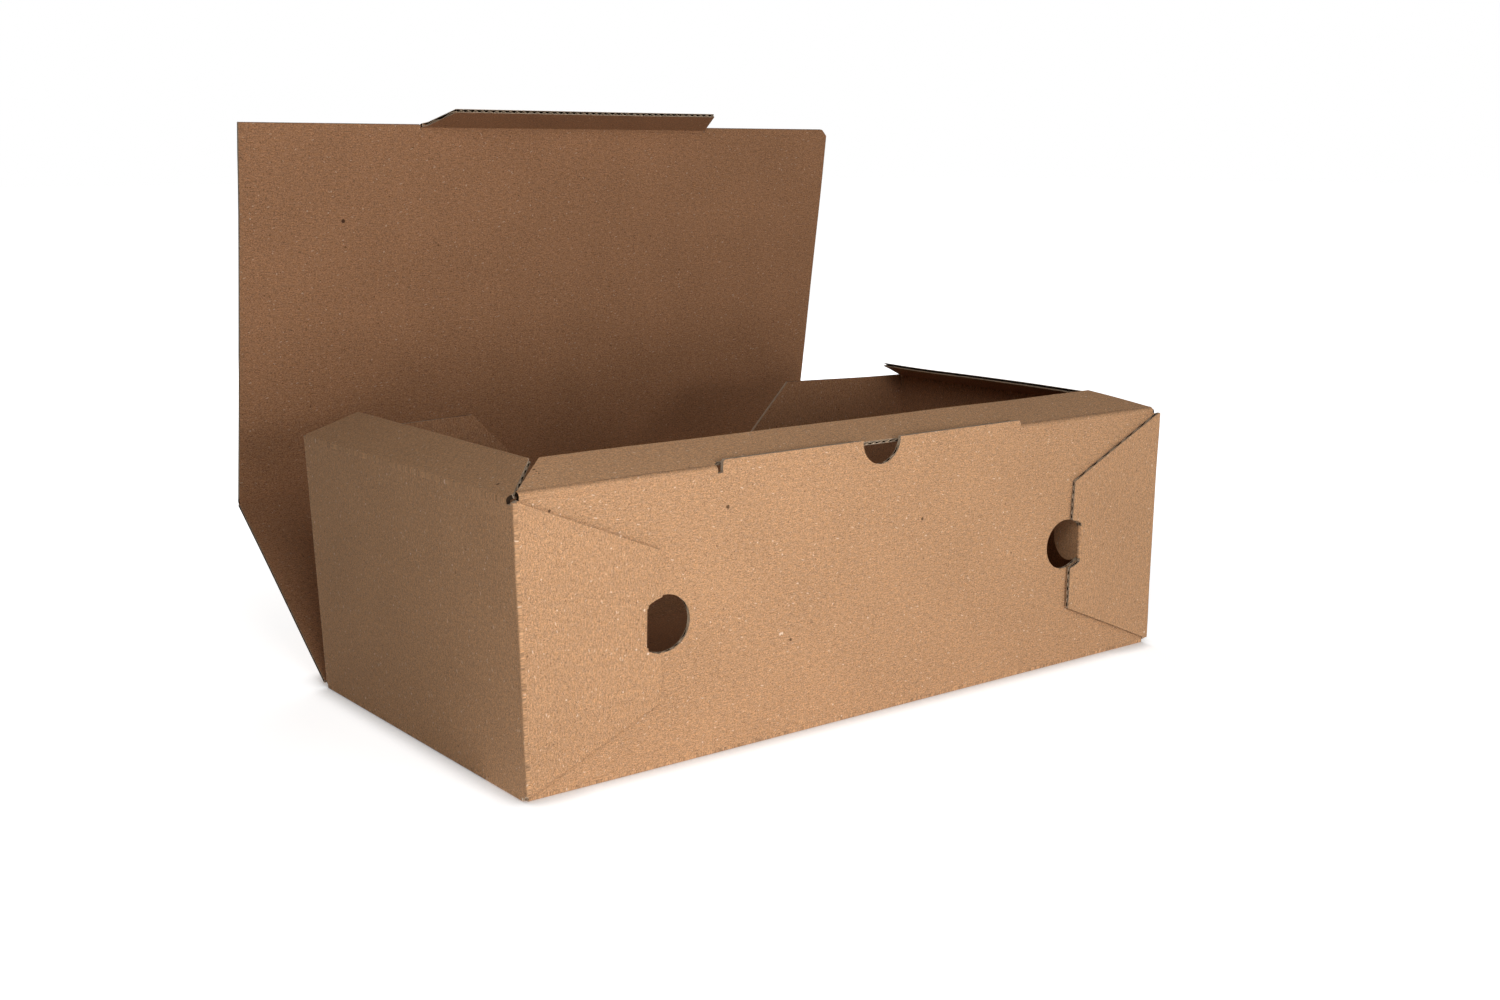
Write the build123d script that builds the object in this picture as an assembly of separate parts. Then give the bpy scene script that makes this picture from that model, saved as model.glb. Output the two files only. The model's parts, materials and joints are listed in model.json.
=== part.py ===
from build123d import *
import math
import os

# Calzone box of thin fluted board, die cut and folded from one sheet, open.
# Origin in the middle of the base's underside, +X to the right along the front
# wall, +Y to the back wall, +Z up. Lengths in mm, angles in degrees.

os.makedirs("parts", exist_ok=True)

# Board and creases
board = 1.5
fold_gap = 0.25
layer_gap = 0.2
knife_gap = 0.3

# Tray, over the outside at the base
length = 301.0
depth = 155.4
end_height = 100.0
front_height = 101.0
front_lean = 2.0
left_lean = 2.4
right_lean = -1.3
back_clearance = 0.4

# Thumb notch, lip and slot in the top of the front wall
lip_width = 141.4
lip_rise = 2.95
slot_overrun = 8.4
lip_corner = 0.8
notch_radius = 8.9
notch_below_crease = 6.3

# Locks of the front corner flaps
lock_flap_reach = 51.5
lock_flap_edge_low = 24.0
lock_flap_edge_high = 76.0
lock_flap_foot = 2.5
lock_flap_head = 98.8
lock_chord = 44.8
lock_radius = 10.0
lock_shoulder = 14.5
lock_centre = 53.8
lock_height = 50.5
lock_room = 0.5
tongue_clearance = 0.6
tongue_bend = 80.0

# Rear corner flaps, folded in behind the back wall
rear_flap_top = 70.5
rear_flap_reach = 96.0
rear_flap_foot = 2.4
rear_flap_head = 99.2
rear_flap_rise = 1.4

# Ledges along the tops of the front and end walls
ledge_width = 19.4
ledge_mitre = 45.0
ledge_front_gap = 1.6
ledge_end_gap = 2.1
ledge_end_step = 2.0
ledge_back_gap = 0.8
ledge_back_bevel = 6.6
front_ledge_tilt = 20.5
left_ledge_tilt = 23.5
right_ledge_tilt = 19.3

# Back wall and lid
back_side_gap = 0.3
back_lean = 54.4
closed_lean = 1.35
back_height = 101.3
lid_side_gap = 0.5
lid_offset = 0.1
lid_lean = 8.6
lid_corner = 3.0

# Tuck flap on the lid's front edge
tuck_play = 12.2
tuck_shift = 5.2
tuck_length = 19.2
tuck_taper = 7.0
tuck_shoulder = 2.0
tuck_bend = 63.5

half = board / 2
hinge_start = half + fold_gap
half_length = length / 2
half_depth = depth / 2


def lean_up(angle):
    """Length up a wall for each millimetre of height, at the wall's lean."""
    return 1 / math.cos(math.radians(angle))


def tangent(angle):
    """Tangent of an angle in degrees."""
    return math.tan(math.radians(angle))


def outline(*points):
    """Closed face through points of the panel's own plane."""
    return make_face(Polyline(*points, close=True))


def plate(plane, face, low=0.0, high=board):
    """Board of the face's outline, between two heights over the plane."""
    return extrude(plane.offset(low) * face, amount=high - low)


def panel(plane, face):
    """Board of the face's outline, half its thickness each side of the plane."""
    return plate(plane, face, -half, half)


def nose(start, end):
    """Full round along a creased edge, on the middle of the board."""
    run = end - start
    return Solid.make_cylinder(half, run.length, Plane(start, z_dir=run))


def fold(start, end, first, second):
    """Bend of a crease: the board's thickness swept about its inner edge."""
    run = (end - start).normalized()
    turn = math.degrees(math.acos(max(-1.0, min(1.0, first.dot(second)))))
    side = 1 if run.cross(first).dot(second) > 0 else -1
    section = Plane(start, x_dir=first, z_dir=run)
    line = Line((0, 0), (board, 0))
    arc = CenterArc((0, 0), board, 0, side * turn)
    back = Line(arc @ 1, (0, 0))
    return extrude(section * make_face(line + arc + back), amount=(end - start).length)


# Planes of the tray's walls, on their inner faces, from their inner bottom edge

front_plane = Plane(
    Vector(0, -half_depth + 2 * board + layer_gap, board),
    x_dir=(1, 0, 0),
    z_dir=(0, -math.cos(math.radians(front_lean)), -math.sin(math.radians(front_lean))),
)
left_plane = Plane(
    Vector(-half_length + board, 0, board),
    x_dir=(0, -1, 0),
    z_dir=(-math.cos(math.radians(left_lean)), 0, -math.sin(math.radians(left_lean))),
)
right_plane = Plane(
    Vector(half_length - board, 0, board),
    x_dir=(0, 1, 0),
    z_dir=(math.cos(math.radians(right_lean)), 0, -math.sin(math.radians(right_lean))),
)
down = Vector(0, 0, -1)
rear = Vector(0, 1, 0)
rear_fold_y = half_depth - 2 * board - back_clearance
lock_face_y = -half_depth + board


def left_x(z):
    """Inner face of the left end wall at height z."""
    return -half_length + board - (z - board) * tangent(left_lean)


def right_x(z):
    """Inner face of the right end wall at height z."""
    return half_length - board + (z - board) * tangent(right_lean)


def lock_y(z):
    """Inner face of the front corner flaps at height z."""
    return lock_face_y - (z - board) * tangent(front_lean)


def front_v(z):
    """Length up the front wall from its inner bottom edge to height z."""
    return (z - board) * lean_up(front_lean)


# Creases of the ledges, on the middle of the board

end_crease_z = end_height - half
front_crease_z = front_height - half
front_crease_v = front_v(front_crease_z)
front_crease = (front_plane * Pos(0, front_crease_v, half)).position
left_crease_x = left_x(end_crease_z) - half * lean_up(left_lean)
right_crease_x = right_x(end_crease_z) + half * lean_up(right_lean)
top_left = left_x(front_crease_z)
top_right = right_x(front_crease_z)
top_middle = (top_left + top_right) / 2
lip_half = lip_width / 2
slot_half = lip_half + slot_overrun
slot_width = lip_rise + knife_gap / 2

# Middle of the slot, under which the tuck flap hangs when the box is shut
slot_far_side = slot_width * math.cos(math.radians(front_ledge_tilt))
slot_y = front_crease.Y + (half + slot_far_side) / 2
hinge_y = half_depth - half
shut_crease_y = hinge_y + back_height * math.sin(math.radians(closed_lean))
lid_length = shut_crease_y - slot_y
back_width = length - 2 * back_side_gap
lid_width = back_width - 2 * lid_side_gap
tuck_width = 2 * slot_half - tuck_play
tuck_offset = top_middle + tuck_shift


def make_base():
    """Floor of the box, with the round of the back wall's crease."""
    start_y = front_plane.origin.Y
    face = Rectangle(length - 2 * board, hinge_y - start_y)
    floor = plate(Plane.XY, Pos(0, (hinge_y + start_y) / 2) * face)
    edge = Vector(0, hinge_y, half)
    reach = Vector(half_length - board, 0, 0)
    return floor + nose(edge - reach, edge + reach)


def make_front_wall():
    """Front wall with its lip, thumb notch and holes with room for the locks."""
    side = layer_gap
    foot_left = (left_x(board) + side, 0)
    foot_right = (right_x(board) - side, 0)
    head_left = (left_x(front_crease_z) + side, front_crease_v)
    head_right = (right_x(front_crease_z) - side, front_crease_v)
    face = outline(foot_left, foot_right, head_right, head_left)
    lip = Rectangle(lip_width, lip_rise + half, align=(Align.CENTER, Align.MIN))
    lip = chamfer(lip.vertices().group_by(Axis.Y)[-1], lip_corner)
    face += Pos(top_middle, front_crease_v - half) * lip
    notch_v = front_crease_v - notch_below_crease + notch_radius
    face -= Pos(top_middle, notch_v) * Circle(notch_radius)
    mouth = Rectangle(2 * notch_radius, notch_radius, align=(Align.CENTER, Align.MIN))
    face -= Pos(top_middle, notch_v) * mouth
    room = Rectangle(lock_room, 2 * lock_root(), align=(Align.MAX, Align.CENTER))
    for way in (1, -1):
        face -= lock_place(way) * (lock_face() + room)
    wall = plate(front_plane, face)
    left_run = (head_left[0], top_middle - lip_half)
    right_run = (top_middle + lip_half, head_right[0])
    for start, end in (left_run, right_run):
        first = (front_plane * Pos(start, front_crease_v, half)).position
        last = (front_plane * Pos(end, front_crease_v, half)).position
        wall += nose(first, last)
    start = Vector(foot_left[0], front_plane.origin.Y, board)
    end = Vector(foot_right[0], front_plane.origin.Y, board)
    return wall + fold(start, end, down, front_plane.z_dir)


def lock_x(way, inset):
    """Place along the front of what lies inset from one end of the base."""
    return way * (inset - half_length)


def lock_place(way):
    """Middle of a lock's straight side, with +X towards its round end."""
    turn = 0 if way > 0 else 180
    return Pos(lock_x(way, lock_chord), front_v(lock_height)) * Rot(0, 0, turn)


def lock_root(clearance=0.0):
    """Half the straight side of a lock, where its shoulders end."""
    reach = lock_centre - lock_chord
    shoulder = lock_shoulder - clearance
    return math.sqrt(shoulder**2 - reach**2) - (lock_shoulder - lock_radius)


def lock_face(clearance=0.0):
    """Cut of a lock, or the tongue that it leaves, smaller by a clearance."""
    reach = lock_centre - lock_chord
    root = lock_root(clearance)
    radius = lock_radius - clearance
    drop = lock_shoulder - lock_radius
    bend = math.atan2(reach, root + drop) / 2
    shoulder = lock_shoulder - clearance
    side = (reach - shoulder * math.sin(bend), shoulder * math.cos(bend) - drop)
    edge = (
        ThreePointArc((0, root), side, (reach, radius))
        + ThreePointArc((reach, radius), (reach + radius, 0), (reach, -radius))
        + ThreePointArc((reach, -radius), (side[0], -side[1]), (0, -root))
        + Line((0, -root), (0, root))
    )
    return make_face(edge)


def make_end_wall(plane, crease_side, lean):
    """End wall with its fold to the base and the round of its ledge's crease."""
    top = (end_crease_z - board) * lean_up(lean)
    way = 1 if plane.x_dir.Y > 0 else -1
    front_foot = way * lock_y(board)
    front_head = way * lock_y(end_crease_z)
    back_edge = way * rear_fold_y
    face = outline((front_foot, 0), (back_edge, 0), (back_edge, top), (front_head, top))
    wall = plate(plane, face)
    crease_front = Vector(crease_side, lock_y(end_crease_z), end_crease_z)
    crease_back = Vector(crease_side, rear_fold_y, end_crease_z)
    wall += nose(crease_front, crease_back)
    x = plane.origin.X
    foot_front = Vector(x, front_plane.origin.Y, board)
    foot_back = Vector(x, rear_fold_y, board)
    return wall + fold(foot_front, foot_back, down, plane.z_dir)


def make_lock_flap(side_x, way, plane):
    """Front corner flap, outside the front wall, with its tongue in the hole."""
    lock_plane = Plane(Vector(0, lock_face_y, board), x_dir=(1, 0, 0), z_dir=front_plane.z_dir)
    low, high = lock_flap_foot, lock_flap_head
    edge = lock_x(way, lock_flap_reach)
    face = outline(
        (side_x(low), front_v(low)),
        (edge, front_v(lock_flap_edge_low)),
        (edge, front_v(lock_flap_edge_high)),
        (side_x(high), front_v(high)),
    )
    face -= lock_place(way) * lock_face()
    flap = plate(lock_plane, face)
    start = Vector(side_x(low), lock_y(low), low)
    end = Vector(side_x(high), lock_y(high), high)
    flap += fold(start, end, plane.z_dir, front_plane.z_dir)
    return flap + make_tongue((lock_plane * lock_place(way)).position, way)


def make_tongue(root, way):
    """Tongue of a lock, bent in about the hole's straight side."""
    out = front_plane.z_dir
    up = front_plane.y_dir
    along = Vector(way, 0, 0)
    turn = math.radians(tongue_bend)
    run = along * math.cos(turn) - out * math.sin(turn)
    face_out = out * math.cos(turn) + along * math.sin(turn)
    plane = Plane(root, x_dir=run, z_dir=face_out)
    tongue = plate(plane, lock_face(tongue_clearance))
    reach = up * lock_root(tongue_clearance)
    return tongue + fold(root - reach, root + reach, out, face_out)


def make_rear_flap(side_x, way, plane):
    """Rear corner flap, folded in from an end wall."""
    rear_plane = Plane(Vector(0, rear_fold_y, 0), x_dir=(-1, 0, 0), z_dir=rear)
    low, high = rear_flap_foot, rear_flap_head
    step = rear_flap_reach - rear_flap_top

    def at(z, reach, corner_z):
        return (-(side_x(corner_z) + way * (reach - board)), z)

    tip_z = high + rear_flap_top * tangent(rear_flap_rise)
    face = outline(
        at(low, board, low),
        at(low, rear_flap_top, low),
        at(low + step, rear_flap_reach, low),
        at(tip_z - step, rear_flap_reach, high),
        at(tip_z, rear_flap_top, high),
        at(high, board, high),
    )
    flap = plate(rear_plane, face)
    start = Vector(side_x(low), rear_fold_y, low)
    end = Vector(side_x(high), rear_fold_y, high)
    return flap + fold(start, end, plane.z_dir, rear)


def make_tray():
    """Base, front wall, end walls and corner flaps: one folded piece."""
    tray = make_base() + make_front_wall()
    ends = (
        (left_plane, left_crease_x, left_lean, left_x, 1),
        (right_plane, right_crease_x, right_lean, right_x, -1),
    )
    for plane, crease, lean, side_x, way in ends:
        tray += make_end_wall(plane, crease, lean)
        tray += make_lock_flap(side_x, way, plane)
        tray += make_rear_flap(side_x, way, plane)
    return tray


def make_back_wall():
    """Back wall, hinged on the base's rear edge, leaning back."""
    turn = math.radians(back_lean)
    origin = Vector(0, hinge_y, half)
    plane = Plane(origin, x_dir=(1, 0, 0), z_dir=(0, -math.cos(turn), math.sin(turn)))
    span = back_height - hinge_start
    face = Pos(0, hinge_start) * Rectangle(back_width, span, align=(Align.CENTER, Align.MIN))
    wall = panel(plane, face)
    crease = (plane * Pos(0, back_height, 0)).position
    middle = crease + Vector(lid_offset, 0, 0)
    reach = Vector(lid_width / 2, 0, 0)
    return wall + nose(middle - reach, middle + reach), crease


def make_lid(crease):
    """Lid, hinged on the back wall's top edge."""
    turn = math.radians(lid_lean)
    plane = Plane(crease, x_dir=(1, 0, 0), z_dir=(0, -math.cos(turn), -math.sin(turn)))
    left = lid_offset - lid_width / 2
    right = lid_offset + lid_width / 2
    top = lid_length + half
    tuck_left = tuck_offset - tuck_width / 2 - knife_gap
    tuck_right = tuck_offset + tuck_width / 2 + knife_gap
    face = outline(
        (left, hinge_start),
        (right, hinge_start),
        (right, top - lid_corner),
        (right - lid_corner, top),
        (tuck_right, top),
        (tuck_right, lid_length),
        (tuck_left, lid_length),
        (tuck_left, top),
        (left, top),
    )
    lid = panel(plane, face)
    tuck_crease = (plane * Pos(tuck_offset, lid_length, 0)).position
    reach = Vector(tuck_width / 2, 0, 0)
    return lid + nose(tuck_crease - reach, tuck_crease + reach), tuck_crease


def make_tuck_flap(crease):
    """Tuck flap that enters the slot behind the front wall's lip."""
    turn = math.radians(lid_lean + tuck_bend)
    plane = Plane(crease, x_dir=(1, 0, 0), z_dir=(0, -math.cos(turn), -math.sin(turn)))
    root = tuck_width / 2
    face = outline(
        (-root, hinge_start),
        (root, hinge_start),
        (root - tuck_taper, tuck_length),
        (-root + tuck_taper, tuck_length),
        (-root + tuck_shoulder, hinge_start + tuck_shoulder),
    )
    return panel(plane, face)


def make_front_ledge():
    """Ledge on the front wall, cut back behind the lip for the tuck flap."""
    turn = math.radians(front_ledge_tilt)
    plane = Plane(front_crease, x_dir=(1, 0, 0), z_dir=(0, -math.sin(turn), math.cos(turn)))
    start_left = top_left + ledge_front_gap
    start_right = top_right - ledge_front_gap
    mitre = (ledge_width - hinge_start) * tangent(ledge_mitre)
    face = outline(
        (start_left, hinge_start),
        (start_right, hinge_start),
        (start_right - mitre, ledge_width),
        (start_left + mitre, ledge_width),
    )
    face -= Pos(top_middle, slot_width / 2) * Rectangle(2 * slot_half, slot_width)
    return panel(plane, face)


def make_end_ledge(crease_x, way, tilt):
    """Ledge on an end wall, mitred to the front ledge and bevelled at the back."""
    turn = math.radians(tilt)
    run = Vector(way * math.cos(turn), 0, math.sin(turn))
    along = Vector(0, -way, 0)
    plane = Plane(Vector(crease_x, 0, end_crease_z), x_dir=along, z_dir=along.cross(run))
    front_y = lock_y(end_crease_z) + ledge_end_gap
    back_y = rear_fold_y - ledge_back_gap
    mitre = (ledge_width - ledge_end_step) * tangent(ledge_mitre)
    face = outline(
        (-way * front_y, hinge_start),
        (-way * back_y, hinge_start),
        (-way * (back_y - ledge_back_bevel), ledge_width),
        (-way * (front_y + mitre), ledge_width),
        (-way * front_y, ledge_end_step),
    )
    return panel(plane, face)


back_wall, lid_crease = make_back_wall()
lid, tuck_crease = make_lid(lid_crease)
pieces = {
    "tray": make_tray(),
    "back_wall": back_wall,
    "lid": lid,
    "tuck_flap": make_tuck_flap(tuck_crease),
    "front_ledge": make_front_ledge(),
    "left_ledge": make_end_ledge(left_crease_x, 1, left_ledge_tilt),
    "right_ledge": make_end_ledge(right_crease_x, -1, right_ledge_tilt),
}
for name, shape in pieces.items():
    export_step(shape, f"parts/{name}.step")
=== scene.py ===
import functools
import json
import logging
import math
from dataclasses import dataclass, field, replace
from enum import Enum

import bmesh
import bpy
from mathutils import Matrix, Vector, noise


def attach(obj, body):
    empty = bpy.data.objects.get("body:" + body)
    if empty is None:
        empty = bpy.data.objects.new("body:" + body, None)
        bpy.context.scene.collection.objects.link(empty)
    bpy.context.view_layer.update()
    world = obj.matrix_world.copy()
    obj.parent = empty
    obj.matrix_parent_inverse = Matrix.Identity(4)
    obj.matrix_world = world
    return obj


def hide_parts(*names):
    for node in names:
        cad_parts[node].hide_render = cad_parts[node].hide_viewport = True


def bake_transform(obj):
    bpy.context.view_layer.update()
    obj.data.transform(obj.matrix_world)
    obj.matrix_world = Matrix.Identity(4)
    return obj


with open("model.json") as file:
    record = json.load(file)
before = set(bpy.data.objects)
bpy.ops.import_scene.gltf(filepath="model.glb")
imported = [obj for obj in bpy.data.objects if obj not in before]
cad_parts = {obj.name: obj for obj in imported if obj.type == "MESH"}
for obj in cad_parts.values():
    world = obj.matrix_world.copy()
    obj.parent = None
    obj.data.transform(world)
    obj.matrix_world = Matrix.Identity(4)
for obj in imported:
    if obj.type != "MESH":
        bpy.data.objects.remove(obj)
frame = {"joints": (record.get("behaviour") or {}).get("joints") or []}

# A calzone box of thin fluted board, folded from one die-cut sheet and left open.
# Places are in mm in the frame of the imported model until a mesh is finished, and
# in metres after that.

LOG = logging.getLogger("calzone_box")
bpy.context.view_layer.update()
MM = 0.001
BOARD = 1.5
HALF = BOARD / 2
LINER = 0.26
FLUTE_PITCH = 3.3
FOLD_CORNER = 0.72
FOLD_NEAR = 0.05
CAP_FACING = 0.7
HINGE_START = 1.5
UV_MM = 10.0
RAGGED_CM = 0.07
SIDES = {1: "left", -1: "right"}

# Blender's noise starts from the clock, so it gets a seed before the first board.
WARP_SEED = 5

Point2 = tuple[float, float]
Point3 = tuple[float, float, float]
Loop = list[Point2]


class Side(Enum):
    """Which material of a board a face takes."""

    OUTSIDE = 0
    INSIDE = 1
    CUT = 2
    FLUTING = 3
    # Near-black finish: painted shade in the flutes' hollows and on the crease strips' ends.
    HOLLOW = 4


class Flutes(Enum):
    """Way that the flutes run in a panel's own plane."""

    UP = "up"
    ACROSS = "across"


def sine(angle: float) -> float:
    """Sine of an angle in degrees."""
    return math.sin(math.radians(angle))


def cosine(angle: float) -> float:
    """Cosine of an angle in degrees."""
    return math.cos(math.radians(angle))


def tangent(angle: float) -> float:
    """Tangent of an angle in degrees."""
    return math.tan(math.radians(angle))


def smooth(share: float) -> float:
    """Smooth step from 0 to 1."""
    share = min(1.0, max(0.0, share))
    return share * share * (3 - 2 * share)


# Sizes


@dataclass(frozen=True)
class BoxSizes:
    """Driving sizes of the box, in mm and degrees.

    slot_tear, left_crease_cut and tongue_bulge are the scene's own. tongue_bend is
    what the photograph shows, and the solids' tongues are bent 80 degrees.
    """

    length: float = 301.0
    depth: float = 155.4
    end_height: float = 100.0
    front_height: float = 101.0
    front_lean: float = 2.0
    left_lean: float = 2.4
    right_lean: float = -1.3
    layer_gap: float = 0.2
    back_clearance: float = 0.4
    lip_width: float = 141.4
    lip_rise: float = 2.95
    lip_corner: float = 0.8
    slot_tear: float = 2.2
    left_crease_cut: float = 0.2
    notch_radius: float = 8.9
    notch_below_crease: float = 6.3
    flap_edge: float = 51.5
    flap_edge_low: float = 24.0
    flap_edge_high: float = 76.0
    flap_foot: float = 2.5
    flap_head: float = 98.8
    lock_chord: float = 44.8
    lock_radius: float = 10.0
    lock_shoulder: float = 14.5
    lock_reach: float = 9.0
    lock_height: float = 50.5
    lock_room: float = 0.5
    tongue_clearance: float = 0.6
    tongue_bend: float = 108.0
    tongue_bulge: float = 1.35
    rear_top: float = 70.5
    rear_reach: float = 96.0
    rear_foot: float = 2.4
    rear_head: float = 99.2
    rear_rise: float = 1.4
    ledge_width: float = 19.4
    ledge_front_gap: float = 1.6
    ledge_end_gap: float = 2.1
    ledge_end_step: float = 2.0
    ledge_back_gap: float = 0.8
    ledge_back_bevel: float = 6.6
    front_tilt: float = 20.5
    left_tilt: float = 23.5
    right_tilt: float = 19.3
    slot_width: float = 3.1
    hinge_start: float = 1.0
    back_lean: float = 54.4
    back_height: float = 101.3
    back_side_gap: float = 0.3
    lid_side_gap: float = 0.5
    lid_offset: float = 0.1
    lid_lean: float = 8.6
    lid_corner: float = 3.0
    tuck_width: float = 146.0
    tuck_length: float = 19.2
    tuck_taper: float = 7.0
    tuck_shoulder: float = 2.0
    tuck_bend: float = 63.5

    @property
    def half_length(self) -> float:
        """Half the base's length."""
        return self.length / 2

    @property
    def half_depth(self) -> float:
        """Half the base's depth."""
        return self.depth / 2

    @property
    def front_y(self) -> float:
        """Inner face of the front wall, at the base."""
        return -self.half_depth + 2 * BOARD + self.layer_gap

    @property
    def lock_y0(self) -> float:
        """Inner face of the front corner flaps, at the base."""
        return -self.half_depth + BOARD

    @property
    def rear_y(self) -> float:
        """Inner face of the rear corner flaps."""
        return self.half_depth - 2 * BOARD - self.back_clearance

    @property
    def hinge_y(self) -> float:
        """Crease between base and back wall."""
        return self.half_depth - HALF

    @property
    def front_crease_z(self) -> float:
        """Height of the front ledge's crease."""
        return self.front_height - HALF

    @property
    def end_crease_z(self) -> float:
        """Height of the end ledges' creases."""
        return self.end_height - HALF

    def left_x(self, z: float) -> float:
        """Inner face of the left end wall at height z."""
        return -self.half_length + BOARD - (z - BOARD) * tangent(self.left_lean)

    def right_x(self, z: float) -> float:
        """Inner face of the right end wall at height z."""
        return self.half_length - BOARD + (z - BOARD) * tangent(self.right_lean)

    def lock_y(self, z: float) -> float:
        """Inner face of the front corner flaps at height z."""
        return self.lock_y0 - (z - BOARD) * tangent(self.front_lean)

    def front_v(self, z: float) -> float:
        """Length up the front wall to height z."""
        return (z - BOARD) / cosine(self.front_lean)

    def lock_root(self, clearance: float = 0.0) -> float:
        """Half the straight side of a lock, where its shoulders end."""
        shoulder = self.lock_shoulder - clearance
        rise = math.sqrt(shoulder**2 - self.lock_reach**2)
        return rise - (self.lock_shoulder - self.lock_radius)

    @property
    def top_middle(self) -> float:
        """Middle of the front wall's top."""
        return (self.left_x(self.front_crease_z) + self.right_x(self.front_crease_z)) / 2


SIZES = BoxSizes()


@dataclass(frozen=True)
class Plane3:
    """Plane in the middle of a board: its own X and Y, with Z to the outside."""

    origin: Vector
    across: Vector
    up: Vector

    @property
    def out(self) -> Vector:
        """Direction to the outer liner."""
        return self.across.cross(self.up)

    def at(self, x: float, y: float, h: float = 0.0) -> Vector:
        """Point of the plane, h above its middle, in mm."""
        return self.origin + self.across * x + self.up * y + self.out * h

    def matrix(self) -> Matrix:
        """From the plane's own mm to the box's mm."""
        turn = Matrix((self.across, self.up, self.out)).transposed().to_4x4()
        turn.translation = self.origin
        return turn


def inner_plane(origin: Vector, across: Vector, out: Vector) -> Plane3:
    """Middle plane of a board whose inner face passes through origin.

    Args:
        origin: Point of the inner face.
        across: The plane's X.
        out: Direction to the outer liner.

    Returns:
        The board's middle plane.
    """
    out = out.normalized()
    return Plane3(origin + out * HALF, across.normalized(), out.cross(across).normalized())


# Places of the panels


class Places:
    """Planes and creases of the folded box, worked out from its sizes."""

    def __init__(self, sizes: BoxSizes) -> None:
        """Works out every plane.

        Args:
            sizes: Driving sizes of the box.
        """
        s = sizes
        self.front_out = Vector((0, -cosine(s.front_lean), -sine(s.front_lean)))
        self.left_out = Vector((-cosine(s.left_lean), 0, -sine(s.left_lean)))
        self.right_out = Vector((cosine(s.right_lean), 0, -sine(s.right_lean)))
        x_axis = Vector((1, 0, 0))
        self.base = Plane3(Vector((0, 0, HALF)), x_axis, Vector((0, -1, 0)))
        self.front = inner_plane(Vector((0, s.front_y, BOARD)), x_axis, self.front_out)
        self.lock = inner_plane(Vector((0, s.lock_y0, BOARD)), x_axis, self.front_out)
        edge = s.half_length - BOARD
        self.left = inner_plane(Vector((-edge, 0, BOARD)), Vector((0, -1, 0)), self.left_out)
        self.right = inner_plane(Vector((edge, 0, BOARD)), Vector((0, 1, 0)), self.right_out)
        self.rear = inner_plane(Vector((0, s.rear_y, 0)), -x_axis, Vector((0, 1, 0)))
        hinge = Vector((0, s.hinge_y, HALF))
        self.back = self.leaning(hinge, -s.back_lean)
        self.lid_crease = self.back.at(0, s.back_height)
        self.lid = self.leaning(self.lid_crease, s.lid_lean)
        joints = {joint["name"]: joint for joint in frame["joints"]}
        self.tuck_crease = Vector(joints["tuck_fold"]["pos_m"]) / MM
        self.tuck = self.leaning(self.tuck_crease, s.lid_lean + s.tuck_bend)
        self.front_crease = self.front.at(0, s.front_v(s.front_crease_z))
        tilt = s.front_tilt
        up = Vector((0, cosine(tilt), sine(tilt)))
        self.front_ledge = Plane3(self.front_crease, x_axis, up)
        self.left_ledge = self.end_ledge(s.left_x(s.end_crease_z), 1, s.left_lean, s.left_tilt)
        self.right_ledge = self.end_ledge(s.right_x(s.end_crease_z), -1, s.right_lean, s.right_tilt)

    def leaning(self, crease: Vector, lean: float) -> Plane3:
        """Plane of a panel that rises from a crease and leans to the front.

        Args:
            crease: Point of the crease.
            lean: Degrees from upright, to the front.

        Returns:
            The panel's middle plane, with its inside to the front.
        """
        return Plane3(crease, Vector((-1, 0, 0)), Vector((0, -sine(lean), cosine(lean))))

    def wall(self, way: int) -> Plane3:
        """End wall on the left for way 1, on the right for -1."""
        return self.left if way > 0 else self.right

    def wall_out(self, way: int) -> Vector:
        """Outward normal of the end wall on the left for way 1, on the right for -1."""
        return self.left_out if way > 0 else self.right_out

    def ledge(self, way: int) -> Plane3:
        """End ledge on the left for way 1, on the right for -1."""
        return self.left_ledge if way > 0 else self.right_ledge

    def end_ledge(self, face_x: float, way: int, lean: float, tilt: float) -> Plane3:
        """Plane of the ledge on an end wall.

        Args:
            face_x: Inner face of the end wall at the crease's height.
            way: 1 on the left wall, -1 on the right.
            lean: The wall's lean.
            tilt: Degrees that the ledge rises.

        Returns:
            The ledge's middle plane.
        """
        crease = Vector((face_x - way * HALF / cosine(lean), 0, SIZES.end_crease_z))
        run = Vector((way * cosine(tilt), 0, sine(tilt)))
        return Plane3(crease, Vector((0, -way, 0)), run)


PLACES = Places(SIZES)


# Warp of the board


@dataclass(frozen=True)
class Bow:
    """A place where the board stands off its flat plane."""

    centre: Point3
    shift: Point3
    spread: Point3
    tied: bool = True
    rise: float = 0.0

    def at(self, point: Vector, fade: float) -> Vector:
        """Shift of a point.

        Args:
            point: Place in mm.
            fade: Share that the creases leave free.

        Returns:
            The shift in mm.
        """
        away = sum(((p - c) / s) ** 2 for p, c, s in zip(point, self.centre, self.spread))
        share = math.exp(-away) * (fade if self.tied else 1.0)
        if self.rise:
            share *= smooth(point.z / self.rise)
        return Vector(self.shift) * share


@dataclass(frozen=True)
class Warp:
    """Slight unevenness of the board, which dies out at the lines that hold it."""

    depth: float
    wave: float
    seed: float
    held: tuple[tuple[Vector, Vector], ...]
    reach: float = 26.0
    bows: tuple[Bow, ...] = ()

    def shift(self, point: Vector) -> Vector:
        """How far a point of the flat board is moved.

        Args:
            point: Place in mm.

        Returns:
            The shift in mm.
        """
        fade = 1.0
        for start, end in self.held:
            run = end - start
            share = min(1.0, max(0.0, (point - start).dot(run) / run.length_squared))
            fade *= smooth((point - start - run * share).length / self.reach)
        place = point / self.wave + Vector((self.seed, 0, 0))
        shift = noise.noise_vector(place) * (self.depth * fade)
        return sum((bow.at(point, fade) for bow in self.bows), shift)


# Boards


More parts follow.
